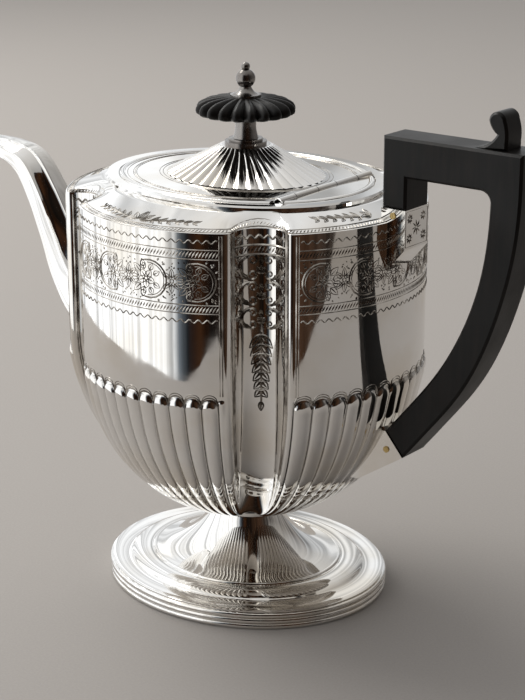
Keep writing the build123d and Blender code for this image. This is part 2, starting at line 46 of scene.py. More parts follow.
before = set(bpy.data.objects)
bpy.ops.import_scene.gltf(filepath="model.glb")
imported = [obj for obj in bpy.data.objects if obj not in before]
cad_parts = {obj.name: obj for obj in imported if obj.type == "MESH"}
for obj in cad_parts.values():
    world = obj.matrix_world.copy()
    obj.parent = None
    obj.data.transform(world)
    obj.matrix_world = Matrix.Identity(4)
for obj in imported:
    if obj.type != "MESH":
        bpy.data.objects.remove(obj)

MM = 0.001
TAU = math.tau
SHARP_ANGLE = math.radians(38.0)

logging.basicConfig(level=logging.INFO, format="%(message)s")
log = logging.getLogger("coffee_pot")


class Body(str, Enum):
    """The two bodies of the pot that move against each other."""

    POT = "pot"
    LID = "lid"


class Slot(str, Enum):
    """The material slots a piece can take its finish from."""

    SILVER = "silver"
    WOOD = "ebonised_wood"
    BRASS = "brass"


# ---------------------------------------------------------------- small helpers
def srgb(code: str, alpha: float = 1.0) -> tuple[float, float, float, float]:
    """Turns an sRGB hex code into a linear colour.

    Args:
        code: Six hex digits with a leading hash.
        alpha: The fourth value of the colour.

    Returns:
        Linear red, green, blue and alpha.
    """
    parts = [int(code[i : i + 2], 16) / 255 for i in (1, 3, 5)]
    linear = [c / 12.92 if c <= 0.04045 else ((c + 0.055) / 1.055) ** 2.4 for c in parts]
    return (*linear, alpha)


def add_node(tree: Tree, kind: str, inputs: dict | None = None, **settings: object) -> bpy.types.Node:
    """Adds a node to a tree, with its settings and its inputs.

    Args:
        tree: The node tree to add to.
        kind: The node's type name.
        inputs: Socket name or index to a value or to the socket that feeds it.
        **settings: Attributes of the node.

    Returns:
        The new node.
    """
    made = tree.nodes.new(kind)
    for key, value in settings.items():
        setattr(made, key, value)
    for key, value in (inputs or {}).items():
        socket = made.inputs[key]
        if isinstance(value, Socket):
            tree.links.new(value, socket)
        else:
            socket.default_value = value
    return made


def maths(tree: Tree, operation: str, *values: object) -> Socket:
    """Adds one math node.

    Args:
        tree: The node tree to add to.
        operation: The math operation.
        *values: Its inputs, numbers or sockets.

    Returns:
        The node's output socket.
    """
    return add_node(tree, "ShaderNodeMath", dict(enumerate(values)), operation=operation).outputs[0]


def link_object(name: str, mesh: bpy.types.Mesh) -> Piece:
    """Puts a mesh into the scene as an unmoved object.

    Args:
        name: The object's name.
        mesh: Its mesh, already in place.

    Returns:
        The new object.
    """
    made = bpy.data.objects.new(name, mesh)
    bpy.context.scene.collection.objects.link(made)
    return made


def finish_mesh(mesh: bpy.types.Mesh, sharp: float = SHARP_ANGLE) -> None:
    """Turns the faces outwards and shades them smooth between sharp edges.

    Args:
        mesh: The mesh to tidy.
        sharp: The angle above which an edge stays crisp.
    """
    work = bmesh.new()
    work.from_mesh(mesh)
    bmesh.ops.recalc_face_normals(work, faces=work.faces)
    work.to_mesh(mesh)
    work.free()
    mesh.shade_smooth()
    mesh.set_sharp_from_angle(angle=sharp)


def mesh_object(
    name: str, points: Array, faces: Sequence[Sequence[int]], sharp: float = SHARP_ANGLE
) -> Piece:
    """Makes an object from points in millimetres and faces.

    Args:
        name: The object's name.
        points: Points, one row each.
        faces: Point indices of each face.
        sharp: The angle above which an edge stays crisp.

    Returns:
        The new object.
    """
    mesh = bpy.data.meshes.new(name)
    mesh.from_pydata((np.asarray(points, dtype=float).reshape(-1, 3) * MM).tolist(), [], list(faces))
    mesh.validate()
    finish_mesh(mesh, sharp)
    return link_object(name, mesh)


def lattice_faces(columns: int, rows: int, wrap_rows: bool) -> list[tuple[int, ...]]:
    """Quads over a lattice of columns that closes on itself, with end caps if the rows don't.

    Args:
        columns: Number of columns round the piece.
        rows: Number of points in each column.
        wrap_rows: Whether the last row joins the first.

    Returns:
        The faces, for points stored column by column.
    """
    last = rows if wrap_rows else rows - 1
    i, j = np.meshgrid(np.arange(columns), np.arange(last), indexing="ij")
    k, m = (i + 1) % columns, (j + 1) % rows
    quads = np.stack([i * rows + j, k * rows + j, k * rows + m, i * rows + m], axis=-1).reshape(-1, 4)
    faces = [tuple(q) for q in quads.tolist()]
    if not wrap_rows:
        faces.append(tuple(range(0, columns * rows, rows)))
        faces.append(tuple(range(rows - 1, columns * rows, rows)))
    return faces


def lattice_object(name: str, grid: Array, wrap_rows: bool, sharp: float = SHARP_ANGLE) -> Piece:
    """Makes a closed object from a lattice of points.

    Args:
        name: The object's name.
        grid: Points indexed by column, row and axis.
        wrap_rows: Whether each column is a closed loop.
        sharp: The angle above which an edge stays crisp.

    Returns:
        The new object.
    """
    columns, rows = grid.shape[:2]
    return mesh_object(name, grid.reshape(-1, 3), lattice_faces(columns, rows, wrap_rows), sharp)


def turned_grid(profile: Sequence[Pair], columns: int, ratio: float = 1.0) -> Array:
    """Turns a profile about the upright axis.

    Args:
        profile: Radius and height of each point.
        columns: Number of columns round the turn.
        ratio: Depth over length of the oval.

    Returns:
        A lattice of points indexed by column, row and axis.
    """
    angle = np.arange(columns) * TAU / columns
    r, z = np.asarray(profile, dtype=float).T
    x = np.cos(angle)[:, None] * r
    y = np.sin(angle)[:, None] * r * ratio
    return np.stack([x, y, np.broadcast_to(z, x.shape)], axis=-1)


def store(mesh: bpy.types.Mesh, name: str, values: Array) -> None:
    """Stores one number per point on a mesh.

    Args:
        mesh: The mesh.
        name: The attribute's name.
        values: One value per point.
    """
    layer = mesh.attributes.new(name, "FLOAT", "POINT")
    layer.data.foreach_set("value", np.ascontiguousarray(values, dtype=np.float32).ravel())


def evaluated(obj: Piece, sharp: float = SHARP_ANGLE) -> Piece:
    """Turns an object's modifiers into its own plain mesh.

    Args:
        obj: The object.
        sharp: The angle above which an edge stays crisp.

    Returns:
        The same object, without modifiers.
    """
    graph = bpy.context.evaluated_depsgraph_get()
    baked = bpy.data.meshes.new_from_object(
        obj.evaluated_get(graph), preserve_all_data_layers=True, depsgraph=graph
    )
    obj.modifiers.clear()
    old = obj.data
    obj.data = baked
    bpy.data.meshes.remove(old)
    baked.name = obj.name
    finish_mesh(baked, sharp)
    return obj


def spline(stations: Array, at: Array) -> Array:
    """Reads a smooth curve through evenly numbered stations.

    Args:
        stations: One row per station.
        at: Station numbers to read, fractions included.

    Returns:
        One row per number read.
    """
    count = len(stations)
    slopes = np.gradient(stations, axis=0)
    low = np.clip(np.floor(at).astype(int), 0, count - 2)
    t = (at - low)[:, None]
    a, b = stations[low], stations[low + 1]
    m, n = slopes[low], slopes[low + 1]
    return (
        a * (2 * t**3 - 3 * t**2 + 1) + m * (t**3 - 2 * t**2 + t)
        + b * (3 * t**2 - 2 * t**3) + n * (t**3 - t**2)
    )


# ---------------------------------------------------------------- finishes
def blank_material(name: str) -> tuple[bpy.types.Material, Tree, bpy.types.Node]:
    """Starts a node material with one surface shader.

    Args:
        name: The material's name.

    Returns:
        The material, its tree and its surface shader.
    """
    made = bpy.data.materials.new(name)
    made.use_nodes = True
    tree = made.node_tree
    tree.nodes.clear()
    shader = add_node(tree, "ShaderNodeBsdfPrincipled")
    add_node(tree, "ShaderNodeOutputMaterial", {"Surface": shader.outputs["BSDF"]})
    return made, tree, shader


def place_socket(tree: Tree, stretch: tuple[float, float, float] = (1.0, 1.0, 1.0)) -> Socket:
    """Gives the place on the object in millimetres, so that pattern sizes are real sizes.

    Args:
        tree: The material's tree.
        stretch: How much each axis is counted.

    Returns:
        A vector socket.
    """
    coordinate = add_node(tree, "ShaderNodeTexCoord").outputs["Object"]
    scale = tuple(s / MM for s in stretch)
    return add_node(
        tree, "ShaderNodeVectorMath", {0: coordinate, 1: scale}, operation="MULTIPLY"
    ).outputs[0]


def noise(tree: Tree, place: Socket, period: float, detail: float = 3.0) -> Socket:
    """Adds a noise pattern of a real period.

    Args:
        tree: The material's tree.
        place: The place in millimetres.
        period: The size of one blotch in millimetres.
        detail: How many finer layers it has.

    Returns:
        The noise value, about 0.5 on average.
    """
    return add_node(
        tree, "ShaderNodeTexNoise", {"Vector": place, "Scale": 1.0 / period, "Detail": detail}
    ).outputs["Fac"]


def ranged(tree: Tree, value: Socket, span: Pair, out: Pair) -> Socket:
    """Maps a value from one range to another.

    Args:
        tree: The material's tree.
        value: The value to map.
        span: The range it comes from.
        out: The range it goes to.

    Returns:
        The mapped value.
    """
    return add_node(
        tree,
        "ShaderNodeMapRange",
        {"Value": value, "From Min": span[0], "From Max": span[1], "To Min": out[0], "To Max": out[1]},
    ).outputs[0]


def mixed(tree: Tree, share: object, first: object, second: object) -> Socket:
    """Mixes two colours.

    Args:
        tree: The material's tree.
        share: How much of the second colour.
        first: The colour at 0.
        second: The colour at 1.

    Returns:
        The mixed colour.
    """
    made = add_node(tree, "ShaderNodeMix", {0: share, 6: first, 7: second}, data_type="RGBA")
    return made.outputs[2]


def mixed_by(tree: Tree, colour: Socket, amount: Socket) -> Socket:
    """Scales a colour.

    Args:
        tree: The node tree.
        colour: The colour.
        amount: What it is multiplied by.

    Returns:
        The scaled colour.
    """
    return add_node(
        tree, "ShaderNodeVectorMath", {0: colour, "Scale": amount}, operation="SCALE"
    ).outputs[0]


class Finish:
    """A surface finish, which makes its material once."""

    name: str

    def material(self) -> bpy.types.Material:
        """Makes the material, or returns it if it is already made.

        Returns:
            The material.
        """
        if self.name in bpy.data.materials:
            return bpy.data.materials[self.name]
        made, tree, shader = blank_material(self.name)
        self.fill(tree, shader)
        return made

    def fill(self, tree: Tree, shader: bpy.types.Node) -> None:
        """Adds the finish's own nodes."""
        raise NotImplementedError


@dataclass(frozen=True)
class PolishedSilver(Finish):
    """Hand-polished sterling: a pale, slightly warm mirror that is never quite flat or quite clean.

    The waves bend reflected edges a little, fine wipe marks soften them, and the grooves keep
    old dark polish.
    """

    name: str = "polished_silver"
    clean: str = "#F1F0EE"
    warm: str = "#E4DED4"
    groove: str = "#3C352F"
    roughness: Pair = (0.025, 0.085)
    wave_height: float = 0.07
    wave_period: float = 24.0
    wipe_height: float = 0.0012
    groove_attribute: str = ""

    def fill(self, tree: Tree, shader: bpy.types.Node) -> None:
        """Adds the finish's own nodes.

        Args:
            tree: The material's tree.
            shader: Its surface shader.
        """
        place = place_socket(tree)
        blotch = noise(tree, place, 34.0, 4.0)
        warmth = ranged(tree, blotch, (0.42, 0.68), (0.0, 1.0))
        colour = mixed(tree, warmth, srgb(self.clean), srgb(self.warm))
        rough = ranged(tree, noise(tree, place, 9.0, 5.0), (0.35, 0.68), self.roughness)
        if self.groove_attribute:
            deep = add_node(
                tree, "ShaderNodeAttribute", attribute_name=self.groove_attribute, attribute_type="GEOMETRY"
            ).outputs["Fac"]
            colour = mixed(tree, deep, colour, srgb(self.groove))
            rough = maths(tree, "ADD", rough, maths(tree, "MULTIPLY", deep, 0.25))
        wave = noise(tree, place, self.wave_period, 1.0)
        wipe = noise(tree, place_socket(tree, (1.0, 1.0, 0.12)), 0.5, 2.0)
        height = maths(
            tree,
            "ADD",
            maths(tree, "MULTIPLY", wave, self.wave_height * MM),
            maths(tree, "MULTIPLY", wipe, self.wipe_height * MM),
        )
        bump = add_node(tree, "ShaderNodeBump", {"Strength": 1.0, "Distance": 1.0, "Height": height})
        tree.links.new(colour, shader.inputs["Base Color"])
        tree.links.new(rough, shader.inputs["Roughness"])
        tree.links.new(bump.outputs["Normal"], shader.inputs["Normal"])
        shader.inputs["Metallic"].default_value = 1.0


@dataclass(frozen=True)
class EngravedSilver(Finish):
    """The cut of a graver: silver roughened by the tool, with dark residue that draws the line."""

    name: str = "engraved_silver"
    dark: str = "#77716A"
    light: str = "#CFCAC2"
    roughness: float = 0.24

    def fill(self, tree: Tree, shader: bpy.types.Node) -> None:
        """Adds the finish's own nodes.

        Args:
            tree: The material's tree.
            shader: Its surface shader.
        """
        place = place_socket(tree)
        worn = ranged(tree, noise(tree, place, 7.0, 3.0), (0.4, 0.65), (0.0, 1.0))
        tree.links.new(mixed(tree, worn, srgb(self.dark), srgb(self.light)), shader.inputs["Base Color"])
        shader.inputs["Metallic"].default_value = 1.0
        shader.inputs["Roughness"].default_value = self.roughness


@dataclass(frozen=True)
class EbonisedWood(Finish):
    """Stained and waxed close-grained wood: near black, browner where it is handled, with a soft sheen."""

    name: str = "waxed_black_wood"
    dark: str = "#0C0B0A"
    brown: str = "#1F1814"
    grain: tuple[float, float, float] = (1.0, 1.0, 0.12)
    roughness: Pair = (0.36, 0.5)
    sheen_level: float = 0.3
    pore_height: float = 0.03

    def fill(self, tree: Tree, shader: bpy.types.Node) -> None:
        """Adds the finish's own nodes.

        Args:
            tree: The material's tree.
            shader: Its surface shader.
        """
        along = place_socket(tree, self.grain)
        streak = noise(tree, along, 2.2, 5.0)
        blotch = noise(tree, place_socket(tree), 26.0, 3.0)
        share = maths(tree, "MULTIPLY", ranged(tree, streak, (0.38, 0.7), (0.0, 1.0)), blotch)
        tree.links.new(mixed(tree, share, srgb(self.dark), srgb(self.brown)), shader.inputs["Base Color"])
        tree.links.new(ranged(tree, blotch, (0.35, 0.65), self.roughness), shader.inputs["Roughness"])
        shader.inputs["Specular IOR Level"].default_value = self.sheen_level
        shader.inputs["IOR"].default_value = 1.45
        pores = noise(tree, along, 0.7, 2.0)
        bump = add_node(
            tree,
            "ShaderNodeBump",
            {
                "Strength": 1.0,
                "Distance": 1.0,
                "Height": maths(tree, "MULTIPLY", pores, self.pore_height * MM),
            },
        )
        tree.links.new(bump.outputs["Normal"], shader.inputs["Normal"])


@dataclass(frozen=True)
class Brass(Finish):
    """Rivet heads gone dull yellow-brown with handling."""

    name: str = "worn_brass"
    bright: str = "#DCC58C"
    dull: str = "#A88A54"

    def fill(self, tree: Tree, shader: bpy.types.Node) -> None:
        """Adds the finish's own nodes.

        Args:
            tree: The material's tree.
            shader: Its surface shader.
        """
        place = place_socket(tree)
        tree.links.new(
            mixed(tree, noise(tree, place, 1.2, 3.0), srgb(self.bright), srgb(self.dull)),
            shader.inputs["Base Color"],
        )
        shader.inputs["Metallic"].default_value = 1.0
        shader.inputs["Roughness"].default_value = 0.32


SILVER = PolishedSilver()
CHASED_SILVER = PolishedSilver(name="chased_silver", groove_attribute="groove")
# darker, browner silver for the finial's collar, pedestal and knob
DARK_FINIAL_SILVER = PolishedSilver(
    name="tarnished_silver", clean="#9A9794", warm="#5E5650",
    roughness=(0.16, 0.3), wave_height=0.16, wave_period=5.0,
)
ENGRAVED = EngravedSilver()
WOOD = EbonisedWood()
BRASS = Brass()


def dress(obj: Piece, finish: Finish, body: Body, slot: Slot, stands_for: Iterable[str] = ()) -> None:
    """Gives a piece its finish, the body it moves with and the part nodes it stands for.

    Args:
        obj: The piece.
        finish: Its finish.
        body: The body it rides on.
        slot: The slot its finish belongs to; not used.
        stands_for: Names of part nodes that it replaces.
    """
    obj.data.materials.clear()
    obj.data.materials.append(finish.material())
    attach(obj, body.value)
    names = list(stands_for)
    if names:
        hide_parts(*names)
    log.info("%s: %d faces", obj.name, len(obj.data.polygons))


def repaint(names: Iterable[str], finish: Finish) -> None:
    """Gives part nodes that are shown as they are a procedural finish.

    Args:
        names: The part nodes.
        finish: Their finish.
    """
    for name in names:
        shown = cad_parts[name]
        shown.data.materials.clear()
        shown.data.materials.append(finish.material())
        log.info("%s: part node with %s", name, finish.material().name)


class SubAssembly:
    """A sub-assembly that is built as one piece and stands for part nodes.

    Attributes:
        finish: Its finish.
        rides_on: The body it moves with.
        slot: The slot its finish belongs to.
        nodes: The part nodes that it replaces.
    """

    finish: ClassVar[Finish] = SILVER
    rides_on: ClassVar[Body] = Body.POT
    slot: ClassVar[Slot] = Slot.SILVER
    nodes: ClassVar[tuple[str, ...]] = ()

    def dress(self, piece: Piece) -> None:
        """Gives the piece its finish, its body and the part nodes it stands for."""
        dress(piece, self.finish, self.rides_on, self.slot, self.nodes)


# ---------------------------------------------------------------- geometry node trees
class NodeRule:
    """A geometry node tree with named inputs that is run once over an object."""

    name = "rule"
    sizes: tuple[tuple[str, str, object], ...] = ()

    def __init__(self) -> None:
        """Builds the tree."""
        self.tree = bpy.data.node_groups.new(self.name, "GeometryNodeTree")
        self.tree.is_modifier = True
        face = self.tree.interface
        face.new_socket("Geometry", in_out="INPUT", socket_type="NodeSocketGeometry")
        for label, kind, value in (*self.sizes, ("Material", "NodeSocketMaterial", None)):
            socket = face.new_socket(label, in_out="INPUT", socket_type=kind)
            if value is not None:
                socket.default_value = value
        face.new_socket("Geometry", in_out="OUTPUT", socket_type="NodeSocketGeometry")
        self.given = add_node(self.tree, "NodeGroupInput").outputs
        made = add_node(self.tree, "GeometryNodeRealizeInstances", {"Geometry": self.build()})
        last = add_node(
            self.tree,
            "GeometryNodeSetMaterial",
            {"Geometry": made.outputs["Geometry"], "Material": self.given["Material"]},
        )
        add_node(self.tree, "NodeGroupOutput", {"Geometry": last.outputs["Geometry"]})

    def build(self) -> Socket:
        """Adds the tree's own nodes."""
        raise NotImplementedError

    def attribute(self, name: str, kind: str = "FLOAT") -> Socket:
        """Reads a named attribute."""
        made = add_node(self.tree, "GeometryNodeInputNamedAttribute", {"Name": name}, data_type=kind)
        return made.outputs[0]

    def run(self, obj: Piece, sharp: float = SHARP_ANGLE, **values: object) -> Piece:
        """Runs the tree over an object and keeps the result as its plain mesh.

        Args:
            obj: The object.
            sharp: The angle above which an edge stays crisp.
            **values: Input label, with underscores for spaces, to value.

        Returns:
            The same object.
        """
        modifier = obj.modifiers.new(self.name, "NODES")
        modifier.node_group = self.tree
        for item in self.tree.interface.items_tree:
            key = item.name.replace(" ", "_").lower()
            if item.item_type == "SOCKET" and item.in_out == "INPUT" and key in values:
                modifier[item.identifier] = values[key]
        return evaluated(obj, sharp)


class StrokeRule(NodeRule):
    """Turns open paths with a width at each point into slim four-sided cuts that lie half in the surface."""

    name = "graver_strokes"

    def build(self) -> Socket:
        """Adds the tree's own nodes.

        Returns:
            The geometry socket of the result.
        """
        drawn = add_node(self.tree, "GeometryNodeMeshToCurve", {"Mesh": self.given["Geometry"]})
        curve = drawn.outputs["Curve"]
        section = add_node(
            self.tree, "GeometryNodeCurvePrimitiveCircle", {"Resolution": 4, "Radius": 1.0}, mode="RADIUS"
        ).outputs["Curve"]
        return add_node(
            self.tree,
            "GeometryNodeCurveToMesh",
            {
                "Curve": curve,
                "Profile Curve": section,
                "Scale": self.attribute("half_width"),
                "Fill Caps": True,
            },
        ).outputs["Mesh"]


class BorderRule(NodeRule):
    """Sets one small cut or bead at every step of a path, turned to the path and to the surface."""

    name = "border_cuts"
    sizes = (
        ("Step", "NodeSocketFloat", 0.001),
        ("Slant", "NodeSocketFloat", 0.0),
        ("Cut Size", "NodeSocketVector", (0.001, 0.0003, 0.0002)),
    )

    def build(self) -> Socket:
        """Adds the tree's own nodes.

        Returns:
            The geometry socket of the result.
        """
        tree = self.tree
        curve = add_node(tree, "GeometryNodeMeshToCurve", {"Mesh": self.given["Geometry"]}).outputs["Curve"]
        steps = add_node(
            tree, "GeometryNodeResampleCurve", {"Curve": curve, "Length": self.given["Step"]}, mode="LENGTH"
        ).outputs["Curve"]
        tangent = add_node(tree, "GeometryNodeInputTangent").outputs[0]
        along = add_node(tree, "FunctionNodeAlignRotationToVector", {"Vector": tangent}, axis="X").outputs[0]
        facing = add_node(
            tree,
            "FunctionNodeAlignRotationToVector",
            {"Rotation": along, "Vector": self.attribute("facing", "FLOAT_VECTOR")},
            axis="Z",
            pivot_axis="X",
        ).outputs[0]
        turn = add_node(tree, "ShaderNodeCombineXYZ", {"Z": self.given["Slant"]}).outputs[0]
        slanted = add_node(
            tree, "FunctionNodeRotateRotation", {"Rotation": facing, "Rotate By": turn},
            rotation_space="LOCAL",
        ).outputs[0]
        facets = {"Segments": 4, "Rings": 2, "Radius": 1.0}
        cut = add_node(tree, "GeometryNodeMeshUVSphere", facets).outputs["Mesh"]
        return add_node(
            tree,
            "GeometryNodeInstanceOnPoints",
            {"Points": steps, "Instance": cut, "Rotation": slanted, "Scale": self.given["Cut Size"]},
        ).outputs["Instances"]


class FluteRule(NodeRule):
    """Works a turned piece into lobes or flutes with a crisp line between each two."""

    name = "radial_flutes"
    sizes = (("Count", "NodeSocketFloat", 20.0), ("Depth", "NodeSocketFloat", 0.001))

    def build(self) -> Socket:
        """Adds the tree's own nodes.

        Returns:
            The geometry socket of the result.
        """
        tree = self.tree
        turn = maths(tree, "MULTIPLY", self.attribute("turn"), self.given["Count"])
        turn = maths(tree, "MULTIPLY", turn, math.pi)
        lobe = maths(tree, "SUBTRACT", maths(tree, "ABSOLUTE", maths(tree, "SINE", turn)), 0.6)
        lift = maths(tree, "MULTIPLY", lobe, self.given["Depth"])
        lift = maths(tree, "MULTIPLY", lift, self.attribute("weight"))
        offset = add_node(
            tree,
            "ShaderNodeVectorMath",
            {0: self.attribute("outwards", "FLOAT_VECTOR"), "Scale": lift},
            operation="SCALE",
        ).outputs[0]
        return add_node(
            tree, "GeometryNodeSetPosition", {"Geometry": self.given["Geometry"], "Offset": offset}
        ).outputs["Geometry"]


STROKES = StrokeRule()
BORDERS = BorderRule()
FLUTES = FluteRule()


def store_vectors(mesh: bpy.types.Mesh, name: str, values: Array) -> None:
    """Stores one vector per point on a mesh.

    Args:
        mesh: The mesh.
        name: The attribute's name.
        values: One row per point.
    """
    layer = mesh.attributes.new(name, "FLOAT_VECTOR", "POINT")
    layer.data.foreach_set("vector", np.ascontiguousarray(values, dtype=np.float32).ravel())


# ---------------------------------------------------------------- engraving
@dataclass
class Stroke:
    """One cut: its path on a surface in millimetres and its width at each point."""

    path: Array
    width: Array


Surface = Callable[[Array], Run]


def line(path: Sequence[Pair] | Array, width: float = 0.25) -> Stroke:
    """A cut of even width.

    Args:
        path: Its points.
        width: Its width.

    Returns:
        The stroke.
    """
    points = np.asarray(path, dtype=float)
    return Stroke(points, np.full(len(points), width))


def cut(start: Pair, angle: float, length: float, bend: float = 0.0, width: float = 0.5) -> Stroke:
    """A leaf-shaped cut: thin, then broad, then drawn out to nothing.

    Args:
        start: Where it starts.
        angle: Its direction in degrees from the first axis.
        length: Its length.
        bend: How far it turns on the way, in degrees.
        width: Its greatest width.

    Returns:
        The stroke.
    """
    t = np.linspace(0.0, 1.0, 6)
    heading = np.radians(angle + bend * t)
    step = length / (len(t) - 1)
    x = start[0] + np.concatenate([[0.0], np.cumsum(np.cos(heading[:-1]) * step)])
    z = start[1] + np.concatenate([[0.0], np.cumsum(np.sin(heading[:-1]) * step)])
    shape = np.array([0.35, 0.8, 1.0, 0.85, 0.5, 0.08])
    return Stroke(np.stack([x, z], axis=-1), width * shape)


def arc(centre: Pair, radius: float, start: float, end: float, width: float = 0.28) -> Stroke:
    """A cut along part of a circle.

    Args:
        centre: The circle's centre.
        radius: Its radius.
        start: Where it starts, in degrees.
        end: Where it ends.
        width: Its width.

    Returns:
        The stroke.
    """
    count = max(5, int(abs(end - start) / 18) + 1)
    angle = np.radians(np.linspace(start, end, count))
    path = np.stack([centre[0] + radius * np.cos(angle), centre[1] + radius * np.sin(angle)], axis=-1)
    return Stroke(path, np.full(count, width))


def scroll(centre: Pair, radius: float, start: float, turns: float, width: float = 0.4) -> Stroke:
    """A spiral cut that winds in to a point.

    Args:
        centre: The middle of the spiral.
        radius: Its outer radius.
        start: Where it starts, in degrees.
        turns: How many turns it makes, negative for clockwise.
        width: Its width at the outer end.

    Returns:
        The stroke.
    """
    t = np.linspace(0.0, 1.0, max(8, int(abs(turns) * 16)))
    angle = np.radians(start) + TAU * turns * t
    r = radius * (1.0 - 0.86 * t)
    path = np.stack([centre[0] + r * np.cos(angle), centre[1] + r * np.sin(angle)], axis=-1)
    return Stroke(path, width * (1.0 - 0.6 * t))


def spray(
    centre: Pair, angle: float, spread: float, count: int, length: float, bend: float = 0.0,
    width: float = 0.5, inner: float = 0.8,
) -> list[Stroke]:
    """A fan of leaf cuts, longest in the middle.

    Args:
        centre: Where the fan grows from.
        angle: Its direction in degrees.
        spread: How wide it opens, in degrees.
        count: How many cuts it has.
        length: Length of the middle cut.
        bend: How far the outer cuts turn, in degrees.
        width: Greatest width of a cut.
        inner: How far from the centre the cuts begin.

    Returns:
        The strokes.
    """
    made = []
    for i in range(count):
        side = 0.0 if count == 1 else 2 * i / (count - 1) - 1
        heading = angle + side * spread / 2
        start = (
            centre[0] + inner * math.cos(math.radians(heading)),
            centre[1] + inner * math.sin(math.radians(heading)),
        )
        made.append(cut(start, heading, length * (1 - 0.4 * abs(side)), bend * side, width))
    return made


def moved(strokes: Iterable[Stroke], shift: Pair, mirror: Pair = (1.0, 1.0)) -> list[Stroke]:
    """Copies strokes to another place, mirrored if asked.

    Args:
        strokes: The strokes.
        shift: How far to move them.
        mirror: 1 or -1 for each axis, applied before the move.

    Returns:
        New strokes.
    """
    return [Stroke(s.path * np.array(mirror) + np.array(shift), s.width) for s in strokes]


@dataclass
class Engraver:
    """Collects strokes on surfaces and makes them into one piece.

    Attributes:
        name: The piece's name.
        body: The body it rides on.
        weight: How much heavier than drawn the cuts are.
        sink: How far a cut lies under the surface, for each unit of its width.
    """

    name: str
    body: Body
    weight: float = 1.8
    sink: float = 0.36

    def __post_init__(self) -> None:
        """Starts with no strokes."""
        self.points: list[Array] = []
        self.widths: list[Array] = []
        self.edges: list[Array] = []
        self.count = 0

    def add(self, surface: Surface, strokes: Iterable[Stroke]) -> None:
        """Lays strokes on a surface.

        Args:
            surface: Maps places on the surface to points and normals.
            strokes: The strokes.
        """
        for stroke in strokes:
            points, normals = surface(stroke.path)
            size = len(points)
            self.points.append(points - normals * (self.sink * stroke.width[:, None]))
            self.widths.append(stroke.width * self.weight)
            run = np.arange(self.count, self.count + size - 1)
            self.edges.append(np.stack([run, run + 1], axis=-1))
            self.count += size

    def make(self, finish: Finish = ENGRAVED) -> None:
        """Makes the piece and dresses it.

        Args:
            finish: The finish of the cuts.
        """
        mesh = bpy.data.meshes.new(self.name)
        points = np.concatenate(self.points) * MM
        mesh.from_pydata(points.tolist(), np.concatenate(self.edges).tolist(), [])
        store(mesh, "half_width", np.concatenate(self.widths) * 0.5 * MM)
        piece = STROKES.run(link_object(self.name, mesh), math.radians(30.0), material=finish.material())
        dress(piece, finish, self.body, Slot.SILVER)


@dataclass(frozen=True)
class Border:
    """A row of small cuts or beads along a path.

    Attributes:
        step: Distance between cuts in millimetres.
        size: Half length along the cut, half width and half height in millimetres.
        slant: How far each cut is turned from the path, in degrees.
    """

    step: float = 1.2
    size: tuple[float, float, float] = (1.45, 0.34, 0.2)
    slant: float = 58.0

    def make(self, name: str, runs: Sequence[Run], body: Body, finish: Finish = ENGRAVED) -> None:
        """Makes the row as a piece and dresses it.

        Args:
            name: The piece's name.
            runs: Points and normals of each path.
            body: The body it rides on.
            finish: Its finish.
        """
        points, edges, start = [], [], 0
        for path, _ in runs:
            points.append(path)
            run = np.arange(start, start + len(path) - 1)
            edges.append(np.stack([run, run + 1], axis=-1))
            start += len(path)
        mesh = bpy.data.meshes.new(name)
        pairs = [tuple(e) for e in np.concatenate(edges).tolist()]
        mesh.from_pydata((np.concatenate(points) * MM).tolist(), pairs, [])
        store_vectors(mesh, "facing", np.concatenate([normals for _, normals in runs]))
        piece = BORDERS.run(
            link_object(name, mesh),
            math.radians(20.0),
            step=self.step * MM,
            slant=math.radians(self.slant),
            cut_size=tuple(s * MM for s in self.size),
            material=finish.material(),
        )
        dress(piece, finish, body, Slot.SILVER)


# ---------------------------------------------------------------- body plan
class Panel(Enum):
    """The four convex panels, counterclockwise from above, with the turn that takes the first one there."""

    FRONT = 0
    HANDLE = 1
    BACK = 2
    SPOUT = 3


@dataclass(frozen=True)
class PlanSizes:
    """Sizes of the body in millimetres."""

    half_length: float = 69.7
    half_width: float = 66.8
    side_radius: float = 56.0
    end_radius: float = 61.6
    side_half_chord: float = 35.7
    end_half_chord: float = 42.8
    niche_depth: float = 9.1
    edge_round: float = 2.3
    neck_radius: float = 14.1
    neck_top: float = 30.5
    bowl_top: float = 102.0
    shoulder_edge: float = 155.8
    gallery_base: float = 160.5
    gallery_radius: float = 56.5
    oval_ratio: float = 0.8336


